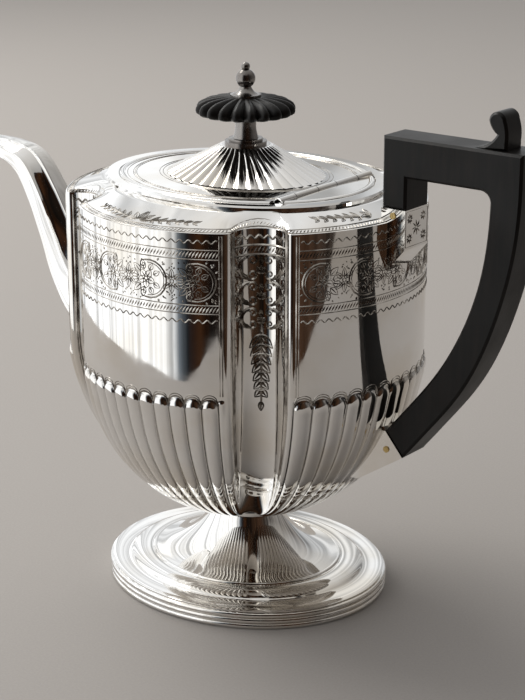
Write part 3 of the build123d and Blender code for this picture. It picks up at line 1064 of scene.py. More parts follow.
class BodyPlan:
    """The body's plan of panels and niches, and the surfaces that rise from it."""

    def __init__(self, sizes: PlanSizes = PlanSizes()) -> None:
        """Works out the arcs of the plan.

        Args:
            sizes: Sizes of the body.
        """
        self.sizes = z = sizes
        self.side_centre = np.array([0.0, -(z.half_width - z.side_radius)])
        self.end_centre = np.array([z.half_length - z.end_radius, 0.0])
        self.side_corner = np.array(
            [z.side_half_chord, self.side_centre[1] - math.sqrt(z.side_radius**2 - z.side_half_chord**2)]
        )
        self.end_corner = np.array(
            [self.end_centre[0] + math.sqrt(z.end_radius**2 - z.end_half_chord**2), -z.end_half_chord]
        )
        chord = self.end_corner - self.side_corner
        half = float(np.hypot(*chord)) / 2
        out = np.array([chord[1], -chord[0]]) / (2 * half)
        self.niche_radius = (half**2 + z.niche_depth**2) / (2 * z.niche_depth)
        between = (self.side_corner + self.end_corner) / 2
        self.niche_centre = between + out * (self.niche_radius - z.niche_depth)
        self.half_side = z.side_radius * math.asin(z.side_half_chord / z.side_radius)
        self.half_end = z.end_radius * math.asin(z.end_half_chord / z.end_radius)
        first = self.side_corner - self.niche_centre
        last = self.end_corner - self.niche_centre
        begin = math.atan2(first[1], first[0])
        sweep = (math.atan2(last[1], last[0]) - begin + math.pi) % TAU - math.pi
        middle = math.atan2(-out[1], -out[0])
        if abs(((begin + sweep / 2) - middle + math.pi) % TAU - math.pi) > 1.0:
            sweep -= math.copysign(TAU, sweep)
        self.niche_begin, self.niche_sweep = begin, sweep
        self.half_niche = self.niche_radius * abs(sweep) / 2
        self.bowl_drop = (z.bowl_top - z.neck_top) / math.sqrt(1 - (z.neck_radius / z.half_length) ** 2)

    def half(self, panel: Panel) -> float:
        """Half the length of a panel round its curve."""
        return self.half_side if panel in (Panel.FRONT, Panel.BACK) else self.half_end

    def on_panel(self, panel: Panel, s: Array) -> Run:
        """Plan points of a panel, before its edges are rounded.

        Args:
            panel: The panel.
            s: Distance from the panel's middle, positive to the right as seen from outside.

        Returns:
            Points and outward normals in plan.
        """
        s = np.asarray(s, dtype=float)
        if panel in (Panel.FRONT, Panel.BACK):
            angle = s / self.sizes.side_radius
            normal = np.stack([np.sin(angle), -np.cos(angle)], axis=-1)
            point = self.side_centre + self.sizes.side_radius * normal
        else:
            angle = s / self.sizes.end_radius
            normal = np.stack([np.cos(angle), np.sin(angle)], axis=-1)
            point = self.end_centre + self.sizes.end_radius * normal
        turn = -1.0 if panel in (Panel.BACK, Panel.SPOUT) else 1.0
        return point * turn, normal * turn

    def on_niche(self, index: int, s: Array) -> Run:
        """Plan points of a niche.

        Args:
            index: 0 to 3, counterclockwise; niche 0 follows the front panel.
            s: Distance from the niche's middle, positive to the right as seen from outside.

        Returns:
            Points and outward normals in plan.
        """
        s = np.asarray(s, dtype=float)
        mirror = index in (1, 3)
        run = -s if mirror else s
        angle = self.niche_begin + self.niche_sweep * (0.5 + run / (2 * self.half_niche))
        spoke = np.stack([np.cos(angle), np.sin(angle)], axis=-1)
        point = self.niche_centre + self.niche_radius * spoke
        normal = -spoke
        if index == 1:
            flip = np.array([1.0, -1.0])
        elif index == 2:
            flip = np.array([-1.0, -1.0])
        elif index == 3:
            flip = np.array([-1.0, 1.0])
        else:
            flip = np.array([1.0, 1.0])
        return point * flip, normal * flip

    def share(self, z: Array) -> Run:
        """How much of the full plan the body has at a height, and how fast that changes.

        Args:
            z: Heights in millimetres.

        Returns:
            The share, and its slope per millimetre.
        """
        sine = np.clip((self.sizes.bowl_top - np.asarray(z, dtype=float)) / self.bowl_drop, 0.0, 0.985)
        cosine = np.sqrt(1 - sine**2)
        return cosine, sine / cosine / self.bowl_drop

    def raise_up(self, point: Array, normal: Array, z: Array) -> Run:
        """Lifts plan points to the body's surface.

        Args:
            point: Plan points.
            normal: Plan normals.
            z: Heights.

        Returns:
            Points and outward normals on the body.
        """
        share, slope = self.share(z)
        place = np.concatenate([point * share[..., None], np.asarray(z, dtype=float)[..., None]], axis=-1)
        lean = -slope * np.sum(point * normal, axis=-1)
        out = np.concatenate([normal, lean[..., None]], axis=-1)
        return place, out / np.linalg.norm(out, axis=-1, keepdims=True)

    def panel_surface(self, panel: Panel) -> Surface:
        """The surface of a panel, for engraving."""
        return lambda path: self.raise_up(*self.on_panel(panel, path[:, 0]), path[:, 1])

    def niche_surface(self, index: int) -> Surface:
        """The surface of a niche, for engraving."""
        return lambda path: self.raise_up(*self.on_niche(index, path[:, 0]), path[:, 1])

    def shoulder_surface(self, plan_point: Callable[[Array], Run]) -> Surface:
        """The sloping shoulder above one side of the plan, for engraving.

        Args:
            plan_point: Gives plan points and normals of that side.

        Returns:
            A map from (distance across, share of the way in to the gallery) to points and normals.
        """

        def surface(path: Array) -> Run:
            outer, _ = plan_point(path[:, 0])
            return self.on_shoulder(outer, path[:, 1])

        return surface

    def on_shoulder(self, outer: Array, way: Array) -> Run:
        """Points on the shoulder between the plan and the gallery's oval.

        Args:
            outer: Points on the plan.
            way: Share of the way in, 0 at the plan.

        Returns:
            Points and upward normals.
        """
        z = self.sizes
        low = np.concatenate([outer, np.full((len(outer), 1), z.shoulder_edge)], axis=-1)
        high = self.oval(outer, z.gallery_radius, z.gallery_base)
        point = low + (high - low) * np.asarray(way)[:, None]
        run = high - low
        flat = np.linalg.norm(run[:, :2], axis=-1, keepdims=True)
        normal = np.concatenate([-run[:, :2] / flat * run[:, 2:], flat], axis=-1)
        return point, normal / np.linalg.norm(normal, axis=-1, keepdims=True)

    def oval(self, towards: Array, radius: float, height: float) -> Array:
        """Points on an upright oval in the direction of plan points.

        Args:
            towards: Plan points that give the direction.
            radius: The oval's half length.
            height: Its height.

        Returns:
            Points on the oval.
        """
        ratio = self.sizes.oval_ratio
        angle = np.arctan2(towards[:, 1] / ratio, towards[:, 0])
        return np.stack(
            [radius * np.cos(angle), radius * ratio * np.sin(angle), np.full(len(angle), height)], axis=-1
        )


# ---------------------------------------------------------------- the chased body
@dataclass(frozen=True)
class GadroonSizes:
    """Sizes of the lobes on the bowl, in millimetres."""

    side_count: int = 11
    side_pitch: float = 6.2
    end_count: int = 13
    head_top: float = 94.8
    head_height: float = 4.4
    relief: float = 1.75
    sink: float = 0.5
    columns: int = 12


@dataclass(frozen=True)
class Column:
    """One upright line of points on the body."""

    point: Array
    normal: Array
    across: float
    lobe_width: float


@dataclass
class ChasedBody(SubAssembly):
    """The body: plain panels and niches above, lobes with domed heads chased into the bowl below.

    Attributes:
        plan: The body's plan.
        lobes: Sizes of the lobes.
        wall: Thickness of the sheet.
    """

    finish = CHASED_SILVER
    nodes = ("bowl_lower", "bowl_upper", "body_wall")
    plan: BodyPlan
    lobes: GadroonSizes = GadroonSizes()
    wall: float = 1.2

    def __post_init__(self) -> None:
        """Lays out the columns."""
        self.columns = self.make_columns()

    def lobe_edges(self, panel: Panel) -> Array:
        """Places of the grooves across a panel.

        Args:
            panel: The panel.

        Returns:
            Distances from its middle.
        """
        reach = self.plan.half(panel) - self.plan.sizes.edge_round
        if panel in (Panel.FRONT, Panel.BACK):
            full = self.lobes.side_pitch * (np.arange(self.lobes.side_count + 1) - self.lobes.side_count / 2)
            return np.concatenate([[-reach], full, [reach]])
        return np.linspace(-reach, reach, self.lobes.end_count + 1)

    def make_columns(self) -> list[Column]:
        """Lays out the columns counterclockwise, close together beside each groove.

        Returns:
            The columns.
        """
        made: list[Column] = []
        edge = self.plan.sizes.edge_round
        fine = (1 - np.cos(np.pi * np.arange(self.lobes.columns) / self.lobes.columns)) / 2
        for panel in Panel:
            grooves = self.lobe_edges(panel)
            for low, high in zip(grooves[:-1], grooves[1:]):
                width = high - low
                steps = fine if width > 3 else fine[::3]
                point, normal = self.plan.on_panel(panel, low + width * steps)
                made += [Column(p, n, 2 * t - 1, width) for p, n, t in zip(point, normal, steps)]
            self.turn_edge(made, self.plan.on_panel(panel, np.array([grooves[-1], self.plan.half(panel)])),
                           self.plan.on_niche(panel.value, np.array([edge - self.plan.half_niche])))
            run = np.linspace(edge - self.plan.half_niche, self.plan.half_niche - edge, 29)
            made += [Column(p, n, 0.0, 0.0) for p, n in zip(*self.plan.on_niche(panel.value, run))]
            following = Panel((panel.value + 1) % 4)
            reach = self.plan.half(following)
            start = self.plan.on_panel(following, np.array([edge - reach, -reach]))
            last = np.array([self.plan.half_niche - edge, self.plan.half_niche])
            niche_end = self.plan.on_niche(panel.value, last)
            self.turn_edge(made, niche_end, start)
        return made

    @staticmethod
    def turn_edge(
        made: list[Column], before: Run, after: Run, count: int = 8
    ) -> None:
        """Adds the columns that carry the surface round the rounded edge between panel and niche.

        Args:
            made: The columns so far, added to.
            before: Point and normal where the curve starts, then the sharp corner.
            after: Point and normal where the curve ends.
            count: How many columns it takes.
        """
        start, corner, end = before[0][0], before[0][1], after[0][0]
        for t in np.linspace(0, 1, count + 2)[:-1]:
            point = (1 - t) ** 2 * start + 2 * t * (1 - t) * corner + t**2 * end
            way = (1 - t) * (corner - start) + t * (end - corner)
            normal = np.array([way[1], -way[0]]) / np.hypot(*way)
            made.append(Column(point, normal, 0.0, 0.0))

    def rows(self) -> Array:
        """Heights of the outer rows, from the neck up.

        Returns:
            The heights.
        """
        z = self.plan.sizes
        start = math.asin((z.bowl_top - 89.2) / self.plan.bowl_drop)
        end = math.asin((z.bowl_top - z.neck_top) / self.plan.bowl_drop)
        bowl = z.bowl_top - self.plan.bowl_drop * np.sin(np.linspace(end, start, 40))
        heads = np.linspace(89.6, 95.4, 15)
        upper = np.array(
            [97.0, 99.5, 102.0, 108.0, 116.0, 126.0, 138.0, 148.0, 153.0, 155.2, z.shoulder_edge]
        )
        return np.concatenate([bowl, heads, upper])

    def lobe_height(self, column: Column, z: Array) -> Array:
        """Height of a lobe over its groove, from 0 to 1.

        Args:
            column: The column.
            z: Heights of its points.

        Returns:
            One value per point.
        """
        if column.lobe_width == 0.0:
            return np.zeros(len(z))
        head = self.lobes.head_height * min(1.0, column.lobe_width / self.lobes.side_pitch)
        above = np.clip(1 - (self.lobes.head_top - z) / head, 0.0, None)
        return np.sqrt(np.clip(1 - column.across**2 - above**2, 0.0, 1.0))

    def build(self) -> Piece:
        """Builds the closed shell, without the spout's opening.

        Returns:
            The shell.
        """
        outer_z = self.rows()
        inner_z = np.array(
            [155.8, 140.0, 120.0, 102.0, 97.0, 92.0, 86.0, 79.0, 72.0]
            + [65.0, 58.0, 51.0, 45.0, 40.0, 36.0, 33.0, 31.2, 30.5]
        )
        grid, dark = [], []
        for column in self.columns:
            share, _ = self.plan.share(outer_z)
            height = self.lobe_height(column, outer_z)
            point, normal = self.plan.raise_up(
                np.broadcast_to(column.point, (len(outer_z), 2)),
                np.broadcast_to(column.normal, (len(outer_z), 2)),
                outer_z,
            )
            small = min(1.0, column.lobe_width / self.lobes.side_pitch)
            under = np.zeros(len(outer_z))
            if column.lobe_width:
                under = np.clip((self.lobes.head_top - outer_z) / 7.0, 0.0, 1.0)
            lift = self.lobes.relief * small * (0.3 + 0.7 * share) * height - self.lobes.sink * under
            outer = point + normal * lift[:, None]
            inner_point, inner_normal = self.plan.raise_up(
                np.broadcast_to(column.point, (len(inner_z), 2)),
                np.broadcast_to(column.normal, (len(inner_z), 2)),
                inner_z,
            )
            grid.append(np.concatenate([outer, inner_point - inner_normal * self.wall]))
            shade = 0 * height
            if column.lobe_width:
                shade = np.where(outer_z < self.lobes.head_top, (1 - height) ** 6 * 0.75, 0.0)
            dark.append(np.concatenate([shade, np.zeros(len(inner_z))]))
        shell = lattice_object("chased_body", np.array(grid), False, math.radians(50.0))
        store(shell.data, "groove", np.array(dark).ravel())
        return shell


def carve(target: Piece, tool: Piece) -> None:
    """Takes one closed object out of another and throws the tool away.

    Args:
        target: The object to cut.
        tool: The object to cut with.
    """
    modifier = target.modifiers.new("opening", "BOOLEAN")
    modifier.operation = "DIFFERENCE"
    modifier.solver = "EXACT"
    modifier.object = tool
    evaluated(target, math.radians(50.0))
    spare = tool.data
    bpy.data.objects.remove(tool)
    bpy.data.meshes.remove(spare)


@dataclass
class Shoulder(SubAssembly):
    """The sloping sheet from the wall's edge in to the gallery.

    Attributes:
        body: The body it sits on.
        wall: Thickness of the sheet.
        mouth_radius: Half length of the mouth.
    """

    nodes = ("shoulder",)
    body: ChasedBody
    wall: float = 1.2
    mouth_radius: float = 47.9

    def build(self) -> Piece:
        """Builds the sheet.

        Returns:
            The piece.
        """
        plan, z = self.body.plan, self.body.plan.sizes
        outer = np.array([c.point for c in self.body.columns])
        inward = np.array([c.normal for c in self.body.columns]) * self.wall
        ways = np.linspace(0, 1, 9)
        rings = [plan.on_shoulder(outer, np.full(len(outer), way))[0] for way in ways]
        rings = [self.eased(ring, 14.0 * way * (1 - way) * 2) for ring, way in zip(rings, ways)]
        rings.append(plan.oval(outer, self.mouth_radius, z.gallery_base))
        rings.append(plan.oval(outer, self.mouth_radius, z.gallery_base - 0.6))
        rings.append(plan.oval(outer, z.gallery_radius - self.wall, z.gallery_base - 0.6))
        low = np.concatenate([outer - inward, np.full((len(outer), 1), z.shoulder_edge)], axis=-1)
        rings.append(low)
        return lattice_object("shoulder_sheet", np.stack(rings, axis=1), True, math.radians(30.0))

    @staticmethod
    def eased(ring: Array, reach: float) -> Array:
        """Softens the ridges of a ring by averaging along its length.

        Args:
            ring: Points of the ring in order.
            reach: How far the average reaches, in millimetres.

        Returns:
            The softened ring.
        """
        if reach < 0.5:
            return ring
        step = np.linalg.norm(np.roll(ring, -1, axis=0) - ring, axis=1)
        along = np.concatenate([[0.0], np.cumsum(step)])
        total = along[-1]
        apart = np.abs(along[:-1, None] - along[None, :-1])
        apart = np.minimum(apart, total - apart)
        weight = np.exp(-((apart / (reach / 2)) ** 2)) * (step + np.roll(step, 1))
        return (weight @ ring) / weight.sum(axis=1, keepdims=True)


# ---------------------------------------------------------------- spout
@dataclass(frozen=True)
class SpoutSizes:
    """Sizes of the spout in millimetres: each station is a centre, a direction and two half sizes."""

    sheet: float = 1.0
    stations: tuple[tuple[float, float, float, float, float], ...] = (
        (-61.0, 94.5, 22.0, 19.0, 14.6),
        (-76.5, 100.5, 38.0, 15.8, 13.6),
        (-88.0, 111.8, 54.0, 12.2, 11.4),
        (-96.0, 125.8, 62.0, 9.6, 9.6),
        (-103.6, 140.2, 56.0, 8.3, 8.7),
        (-112.0, 151.4, 42.0, 7.4, 7.7),
        (-122.0, 155.6, 24.0, 5.2, 6.6),
        (-134.0, 157.2, 14.0, 3.8, 5.9),
    )
    facets: int = 8
    flatness: float = 0.85
    rib: float = 0.4
    columns: int = 96
    rows: int = 64


@dataclass
class Spout(SubAssembly):
    """The swan-neck spout: eight facets with a fine rib between each two, hollow to the lip.

    Attributes:
        plan: The body's plan, for the root.
        sizes: Sizes of the spout.
    """

    nodes = ("spout",)
    plan: BodyPlan
    sizes: SpoutSizes = SpoutSizes()

    def __post_init__(self) -> None:
        """Spaces the columns round the section."""
        self.angle = np.arange(self.sizes.columns) * TAU / self.sizes.columns

    def point(self, station: Array, angle: Array, inset: float, faceted: bool) -> Array:
        """Points on the spout.

        Args:
            station: Station numbers, fractions included.
            angle: Angles round the section; 0 is across the pot and a quarter turn faces the pot.
            inset: How far inside the outer surface.
            faceted: Whether the section has facets.

        Returns:
            Points, one row each.
        """
        x, z, slope, thick, wide = spline(np.array(self.sizes.stations), station).T
        slope = np.radians(slope)
        grow = np.ones(len(angle))
        if faceted:
            facet = TAU / self.sizes.facets
            place = (angle + facet / 2) % facet
            flat = math.cos(facet / 2) / np.cos(place - facet / 2)
            fade = np.clip(station / 0.9, 0, 1) * np.clip((7.6 - station) / 1.6, 0.25, 1)
            fade = fade * self.sizes.flatness
            near = np.minimum(place, facet - place) * (thick + wide) / 2
            raised = fade * self.sizes.rib * np.exp(-((near / 0.45) ** 2)) / wide
            grow = 1 + fade * (flat * 1.035 - 1) + raised
        side = (wide * grow - inset) * np.cos(angle)
        up = (thick * grow - inset) * np.sin(angle)
        return np.stack([x + up * np.sin(slope), side, z + up * np.cos(slope)], axis=-1)

    def depth(self, points: Array) -> Array:
        """How far points lie inside the body's end panel.

        Args:
            points: The points.

        Returns:
            Depths in millimetres, negative outside.
        """
        share, _ = self.plan.share(points[:, 2])
        centre, radius = -self.plan.end_centre[0], self.plan.sizes.end_radius
        return (radius - np.hypot(points[:, 0] / share - centre, points[:, 1] / share)) * share

    def root(self, inset: float, faceted: bool, depth: float) -> Array:
        """Finds where each line along the spout reaches a depth inside the body.

        Args:
            inset: How far inside the outer surface.
            faceted: Whether the section has facets.
            depth: The depth to reach.

        Returns:
            Station number for each column.
        """
        low, high = np.full(len(self.angle), -0.3), np.full(len(self.angle), 2.2)
        for _ in range(30):
            middle = (low + high) / 2
            inside = self.depth(self.point(middle, self.angle, inset, faceted)) > depth
            low, high = np.where(inside, middle, low), np.where(inside, high, middle)
        return low

    def tube(self, inset: float, faceted: bool, start: Array, end: float, rows: int) -> Array:
        """Points of one surface of the spout.

        Args:
            inset: How far inside the outer surface.
            faceted: Whether the section has facets.
            start: Station number where each column starts.
            end: Station number where they end.
            rows: Points in each column.

        Returns:
            A lattice indexed by column, row and axis.
        """
        way = np.linspace(0, 1, rows)
        station = start[:, None] + (end - start[:, None]) * way
        angle = np.broadcast_to(self.angle[:, None], station.shape)
        return self.point(station.ravel(), angle.ravel(), inset, faceted).reshape(*station.shape, 3)

    def build(self) -> Piece:
        """Builds the hollow spout.

        Returns:
            The piece.
        """
        last = len(self.sizes.stations) - 1.0
        outer = self.tube(0.0, True, self.root(0.0, True, 0.5), last, self.sizes.rows)
        inner = self.tube(self.sizes.sheet, False, self.root(self.sizes.sheet, False, 0.9), last, 24)
        grid = np.concatenate([outer, inner[:, ::-1]], axis=1)
        return lattice_object("faceted_spout", grid, True, math.radians(32.0))

    def channel(self) -> Piece:
        """Builds the solid that opens the body behind the spout."""
        start = np.full(len(self.angle), -0.25)
        return lattice_object("channel", self.tube(self.sizes.sheet + 0.1, False, start, 1.2, 12), False)


# ---------------------------------------------------------------- handle
@dataclass
class Handle:
    """The square-section handle with chamfered edges, and the narrower scroll for the thumb.

    Attributes:
        chamfer: Width of the chamfer in millimetres.
        half_width: Half the handle's width.
        half_scroll: Half the thumb scroll's width.
    """

    chamfer: float = 0.9
    half_width: float = 7.45
    half_scroll: float = 5.2

    @staticmethod
    def outline(level: float) -> Array:
        """Reads the handle's side outline off its part node.

        Args:
            level: Distance of the side face from the middle plane, in millimetres.

        Returns:
            Points of the longest loop, as length and height.
        """
        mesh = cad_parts["handle"].data
        place = np.array([v.co for v in mesh.vertices]) / MM
        mesh.calc_loop_triangles()
        seen: dict[tuple, int] = {}
        keys = [tuple(np.round(p[[0, 2]], 3)) for p in place]
        for triangle in mesh.loop_triangles:
            corners = list(triangle.vertices)
            if all(abs(place[i][1] - level) < 0.02 for i in corners):
                for a, b in zip(corners, corners[1:] + corners[:1]):
                    if (keys[b], keys[a]) in seen:
                        del seen[(keys[b], keys[a])]
                    else:
                        seen[(keys[a], keys[b])] = 1
        following = {a: b for a, b in seen}
        best: list = []
        while following:
            start, now = next(iter(following.items()))
            loop = [start]
            del following[start]
            while now != start and now in following:
                loop.append(now)
                now = following.pop(now)
            if len(loop) > len(best):
                best = loop
        return np.array(best)

    def slab(self, name: str, loop: Array, half: float) -> Piece:
        """Makes an outline into a chamfered plate.

        Args:
            name: The piece's name.
            loop: The outline.
            half: Half the plate's width.

        Returns:
            The piece.
        """
        ahead, behind = np.roll(loop, -1, axis=0) - loop, loop - np.roll(loop, 1, axis=0)
        ahead /= np.linalg.norm(ahead, axis=1, keepdims=True)
        behind /= np.linalg.norm(behind, axis=1, keepdims=True)
        area = np.sum(loop[:, 0] * np.roll(loop[:, 1], -1) - np.roll(loop[:, 0], -1) * loop[:, 1])
        both = ahead + behind
        inward = np.stack([-both[:, 1], both[:, 0]], axis=-1) * math.copysign(1.0, area)
        inward /= np.linalg.norm(inward, axis=1, keepdims=True)
        square = np.stack([-ahead[:, 1], ahead[:, 0]], axis=-1)
        lean = np.clip(np.abs(np.sum(inward * square, axis=1)), 0.5, 1)
        small = loop + inward * (self.chamfer / lean)[:, None]
        rows = [(small, half), (loop, half - self.chamfer), (loop, self.chamfer - half), (small, -half)]
        grid = np.stack([np.stack([p[:, 0], np.full(len(p), y), p[:, 1]], axis=-1) for p, y in rows], axis=1)
        return lattice_object(name, grid, False, math.radians(28.0))

    def build(self) -> list[Piece]:
        """Builds the handle and the thumbpiece.

        Returns:
            The two pieces.
        """
        return [
            self.slab("chamfered_handle", self.outline(self.half_width), self.half_width),
            self.slab("thumb_scroll", self.outline(self.half_scroll), self.half_scroll),
        ]

    def dress(self, pieces: list[Piece]) -> None:
        """Gives the handle its finish."""
        dress(pieces[0], WOOD, Body.POT, Slot.WOOD, ["handle"])
        dress(pieces[1], WOOD, Body.POT, Slot.WOOD)


# ---------------------------------------------------------------- foot
@dataclass
class OvalFoot(SubAssembly):
    """The raised foot: a shallow flange, a broad swage, a small bead and the trumpet.

    Attributes:
        neck_radius: Radius at the neck.
        neck_height: Height of the neck.
        sheet: Thickness of the sheet.
        ratio: Width of the oval over its length.
    """

    nodes = ("foot",)
    neck_radius: float = 14.1
    neck_height: float = 29.1
    sheet: float = 1.2
    ratio: float = 0.872

    def outside(self) -> list[Pair]:
        """Lists the outside from the rim to the neck.

        Returns:
            Radius and height of each point.
        """
        made = [(56.6, 6.5), (56.6, 7.1), (56.2, 7.35), (53.5, 7.3), (50.6, 7.45), (48.9, 7.8), (48.4, 8.0)]
        for t in np.linspace(0.0, 1.0, 12)[1:]:
            turn = math.pi * 0.56 * t
            made.append((48.4 - 4.2 * (1 - math.cos(turn)) - 3.6 * t, 8.0 + 2.3 * math.sin(turn)))
        low = made[-1]
        made += [(low[0] - 0.35, low[1] - 0.12), (low[0] - 0.8, low[1] + 0.05)]
        for t in np.linspace(0.0, 1.0, 6)[1:]:
            turn = math.pi * 0.75 * t
            made.append((low[0] - 0.8 - 0.75 * (1 - math.cos(turn)), low[1] + 0.05 + 0.75 * math.sin(turn)))
        start = made[-1]
        rise, run = self.neck_height - start[1], start[0] - self.neck_radius
        stations = np.array(
            [start, (start[0] - 0.26 * run, start[1] + 0.1 * rise),
             (start[0] - 0.5 * run, start[1] + 0.26 * rise),
             (start[0] - 0.73 * run, start[1] + 0.5 * rise), (start[0] - 0.9 * run, start[1] + 0.76 * rise),
             (self.neck_radius, self.neck_height)]
        )
        return made + [tuple(v) for v in spline(stations, np.linspace(0.0, 5.0, 31))[1:]]

    def build(self) -> Piece:
        """Builds the foot as a closed shell, open through the middle.

        Returns:
            The piece.
        """
        outside = self.outside()
        kept = [(r, z) for r, z in outside[::-1] if r < 54.0 and z < 28.5]
        under = [(r - 0.6 * self.sheet, z - 0.8 * self.sheet) for r, z in kept]
        profile = outside + [(self.neck_radius - self.sheet, self.neck_height)] + under + [(54.6, 6.5)]
        return lattice_object("raised_foot", turned_grid(profile, 240, self.ratio), True, math.radians(40.0))


# ---------------------------------------------------------------- lid and finial
@dataclass
class FlutedCone(SubAssembly):
    """The lid's cone: an oval at the base, round at the top, with flutes between sharp ridges.

    Attributes:
        count: Number of flutes.
        depth: Depth of a flute in millimetres.
        sheet: Thickness of the sheet.
        base: Height of the cone's foot.
        top: Height of its top.
    """

    rides_on = Body.LID
    nodes = ("lid_cone",)
    count: int = 38
    depth: float = 1.0
    sheet: float = 0.9
    base: float = 163.0
    top: float = 174.0

    def build(self) -> Piece:
        """Builds the cone as a closed shell with a hole for the stud.

        Returns:
            The piece.
        """
        columns = self.count * 12
        angle = np.arange(columns) * TAU / columns
        way = np.linspace(0, 1, 15)
        sheet, base, top = self.sheet, self.base, self.top
        rings, weights = [], []
        for t in way:
            sag = 1.1 * math.sin(math.pi * t) * 0.6
            rings.append(self.ring(angle, t, -sag, base + (top - base) * t))
            weights.append(0.25 + 0.75 * min(1.0, (1 - t) * 2.0) if t < 1 else 0.0)
        rings += [self.circle(angle, r, top) for r in (8.6, 1.35)]
        rings += [self.circle(angle, r, top - sheet) for r in (1.35, 8.0)]
        rings += [self.ring(angle, 0.6, -2.2, base + (top - base) * 0.55), self.ring(angle, 0.0, -2.2, base)]
        weights += [0.0] * 6
        piece = lattice_object("fluted_cone", np.stack(rings, axis=1), True, math.radians(35.0))
        rows = len(rings)
        spokes = np.stack([np.cos(angle), np.sin(angle), 0.5 * np.ones(columns)], axis=-1)
        store(piece.data, "turn", np.repeat(angle / TAU, rows))
        store(piece.data, "weight", np.tile(weights, columns))
        store_vectors(piece.data, "outwards", np.repeat(spokes, rows, axis=0))
        return FLUTES.run(
            piece, math.radians(35.0), count=float(self.count), depth=self.depth * MM,
            material=SILVER.material(),
        )

    @staticmethod
    def ring(angle: Array, way: float, grow: float, z: float) -> Array:
        """One ring between the oval base and the round top.

        Args:
            angle: Angles round it.
            way: Share of the way up.
            grow: How much larger it is, in millimetres.
            z: Its height.

        Returns:
            The ring's points.
        """
        x = (32.0 - 0.6) * (1 - way) + 9.75 * way + grow
        y = (26.7 - 0.6) * (1 - way) + 9.75 * way + grow
        return np.stack([x * np.cos(angle), y * np.sin(angle), np.full(len(angle), z)], axis=-1)

    @staticmethod
    def circle(angle: Array, radius: float, z: float) -> Array:
        """One round ring."""
        return np.stack([radius * np.cos(angle), radius * np.sin(angle), np.full(len(angle), z)], axis=-1)


@dataclass
class LobedDisc(SubAssembly):
    """The finial's wooden disc: a low dome carved into lobes.

    Attributes:
        count: Number of lobes.
        depth: Depth of the cuts between them in millimetres.
        low: Height of the underside.
        high: Height of the top.
    """

    finish = WOOD
    rides_on = Body.LID
    slot = Slot.WOOD
    nodes = ("finial_disc",)
    count: int = 20
    depth: float = 2.3
    low: float = 184.8
    high: float = 192.0

    def build(self) -> Piece:
        """Builds the disc with a hole for the stud.

        Returns:
            The piece.
        """
        low, high = self.low, self.high
        profile = [(1.35, low), (6.0, low), (12.0, low), (15.0, low + 0.15)]
        profile += [(16.6, low + 0.6), (17.5, low + 1.2)]
        weights = [0.0, 0.0, 0.5, 0.8, 1.0, 1.0]
        dome = [(17.8, 2.0), (17.6, 2.9), (16.9, 3.8), (15.8, 4.6)]
        dome += [(14.2, 5.4), (12.2, 6.0), (10.0, 6.5), (7.6, 6.95)]
        profile += [(r, low + z) for r, z in dome] + [(5.8, high), (1.35, high)]
        weights += [1.0, 1.0, 1.0, 0.95, 0.85, 0.7, 0.5, 0.25, 0.0, 0.0]
        columns = self.count * 16
        piece = lattice_object("lobed_disc", turned_grid(profile, columns), True, math.radians(35.0))
        angle = np.arange(columns) * TAU / columns
        rows = len(profile)
        spokes = np.stack([np.cos(angle), np.sin(angle), 0.7 * np.ones(columns)], axis=-1)
        lift = np.repeat(spokes, rows, axis=0)
        lift[:, 2] *= np.tile([0.0] * 6 + [0.3, 0.6] + [1.0] * 8, columns)
        store(piece.data, "turn", np.repeat(angle / TAU, rows))
        store(piece.data, "weight", np.tile(weights, columns))
        store_vectors(piece.data, "outwards", lift)
        return FLUTES.run(
            piece, math.radians(35.0), count=float(self.count), depth=self.depth * MM,
            material=WOOD.material(),
        )


# ---------------------------------------------------------------- engraved ornament
def leaf(start: Pair, angle: float, length: float, girth: float, width: float = 0.36) -> list[Stroke]:
    """A leaf in outline with a cut for its rib.

    Args:
        start: Its stalk end.
        angle: Its direction in degrees.
        length: Its length.
        girth: Its greatest breadth.
        width: Width of the cuts.

    Returns:
        The strokes.
    """
    turn = np.radians(angle)
    along, across = np.array([np.cos(turn), np.sin(turn)]), np.array([-np.sin(turn), np.cos(turn)])
    t = np.linspace(0.0, 1.0, 6)
    bulge = 0.5 * girth * np.sin(np.pi * t**0.8)
    sides = [
        Stroke(
            np.array(start) + np.outer(t * length, along) + side * np.outer(bulge, across),
            np.full(6, width) * (1 - 0.4 * t),
        )
        for side in (1, -1)
    ]
    rib = np.array([0.12, 0.45, 0.8])
    spine = Stroke(np.array(start) + np.outer(rib * length, along), np.array([1.3, 1.0, 0.3]) * width)
    return [*sides, spine]


def ring_of_leaves(
    centre: Pair, radius: float, angles: Iterable[float], length: float, girth: float
) -> list[Stroke]:
    """Leaves that stand out from a centre.

    Args:
        centre: The centre.
        radius: How far out they begin.
        angles: Their directions in degrees.
        length: Their length.
        girth: Their breadth.

    Returns:
        The strokes.
    """
    made = []
    for angle in angles:
        turn = math.radians(angle)
        start = (centre[0] + radius * math.cos(turn), centre[1] + radius * math.sin(turn))
        made += leaf(start, angle, length, girth)
    return made


def flower(centre: Pair, radius: float, petals: int = 5, turn: float = 90.0) -> list[Stroke]:
    """A flower in outline.

    Args:
        centre: Its centre.
        radius: Its radius.
        petals: How many petals it has.
        turn: Direction of the first petal in degrees.

    Returns:
        The strokes.
    """
    made = [arc(centre, radius * 0.2, 0, 360, 0.42)]
    angles = [turn + 360 * k / petals for k in range(petals)]
    return made + ring_of_leaves(centre, radius * 0.28, angles, radius * 0.75, radius * 0.72)


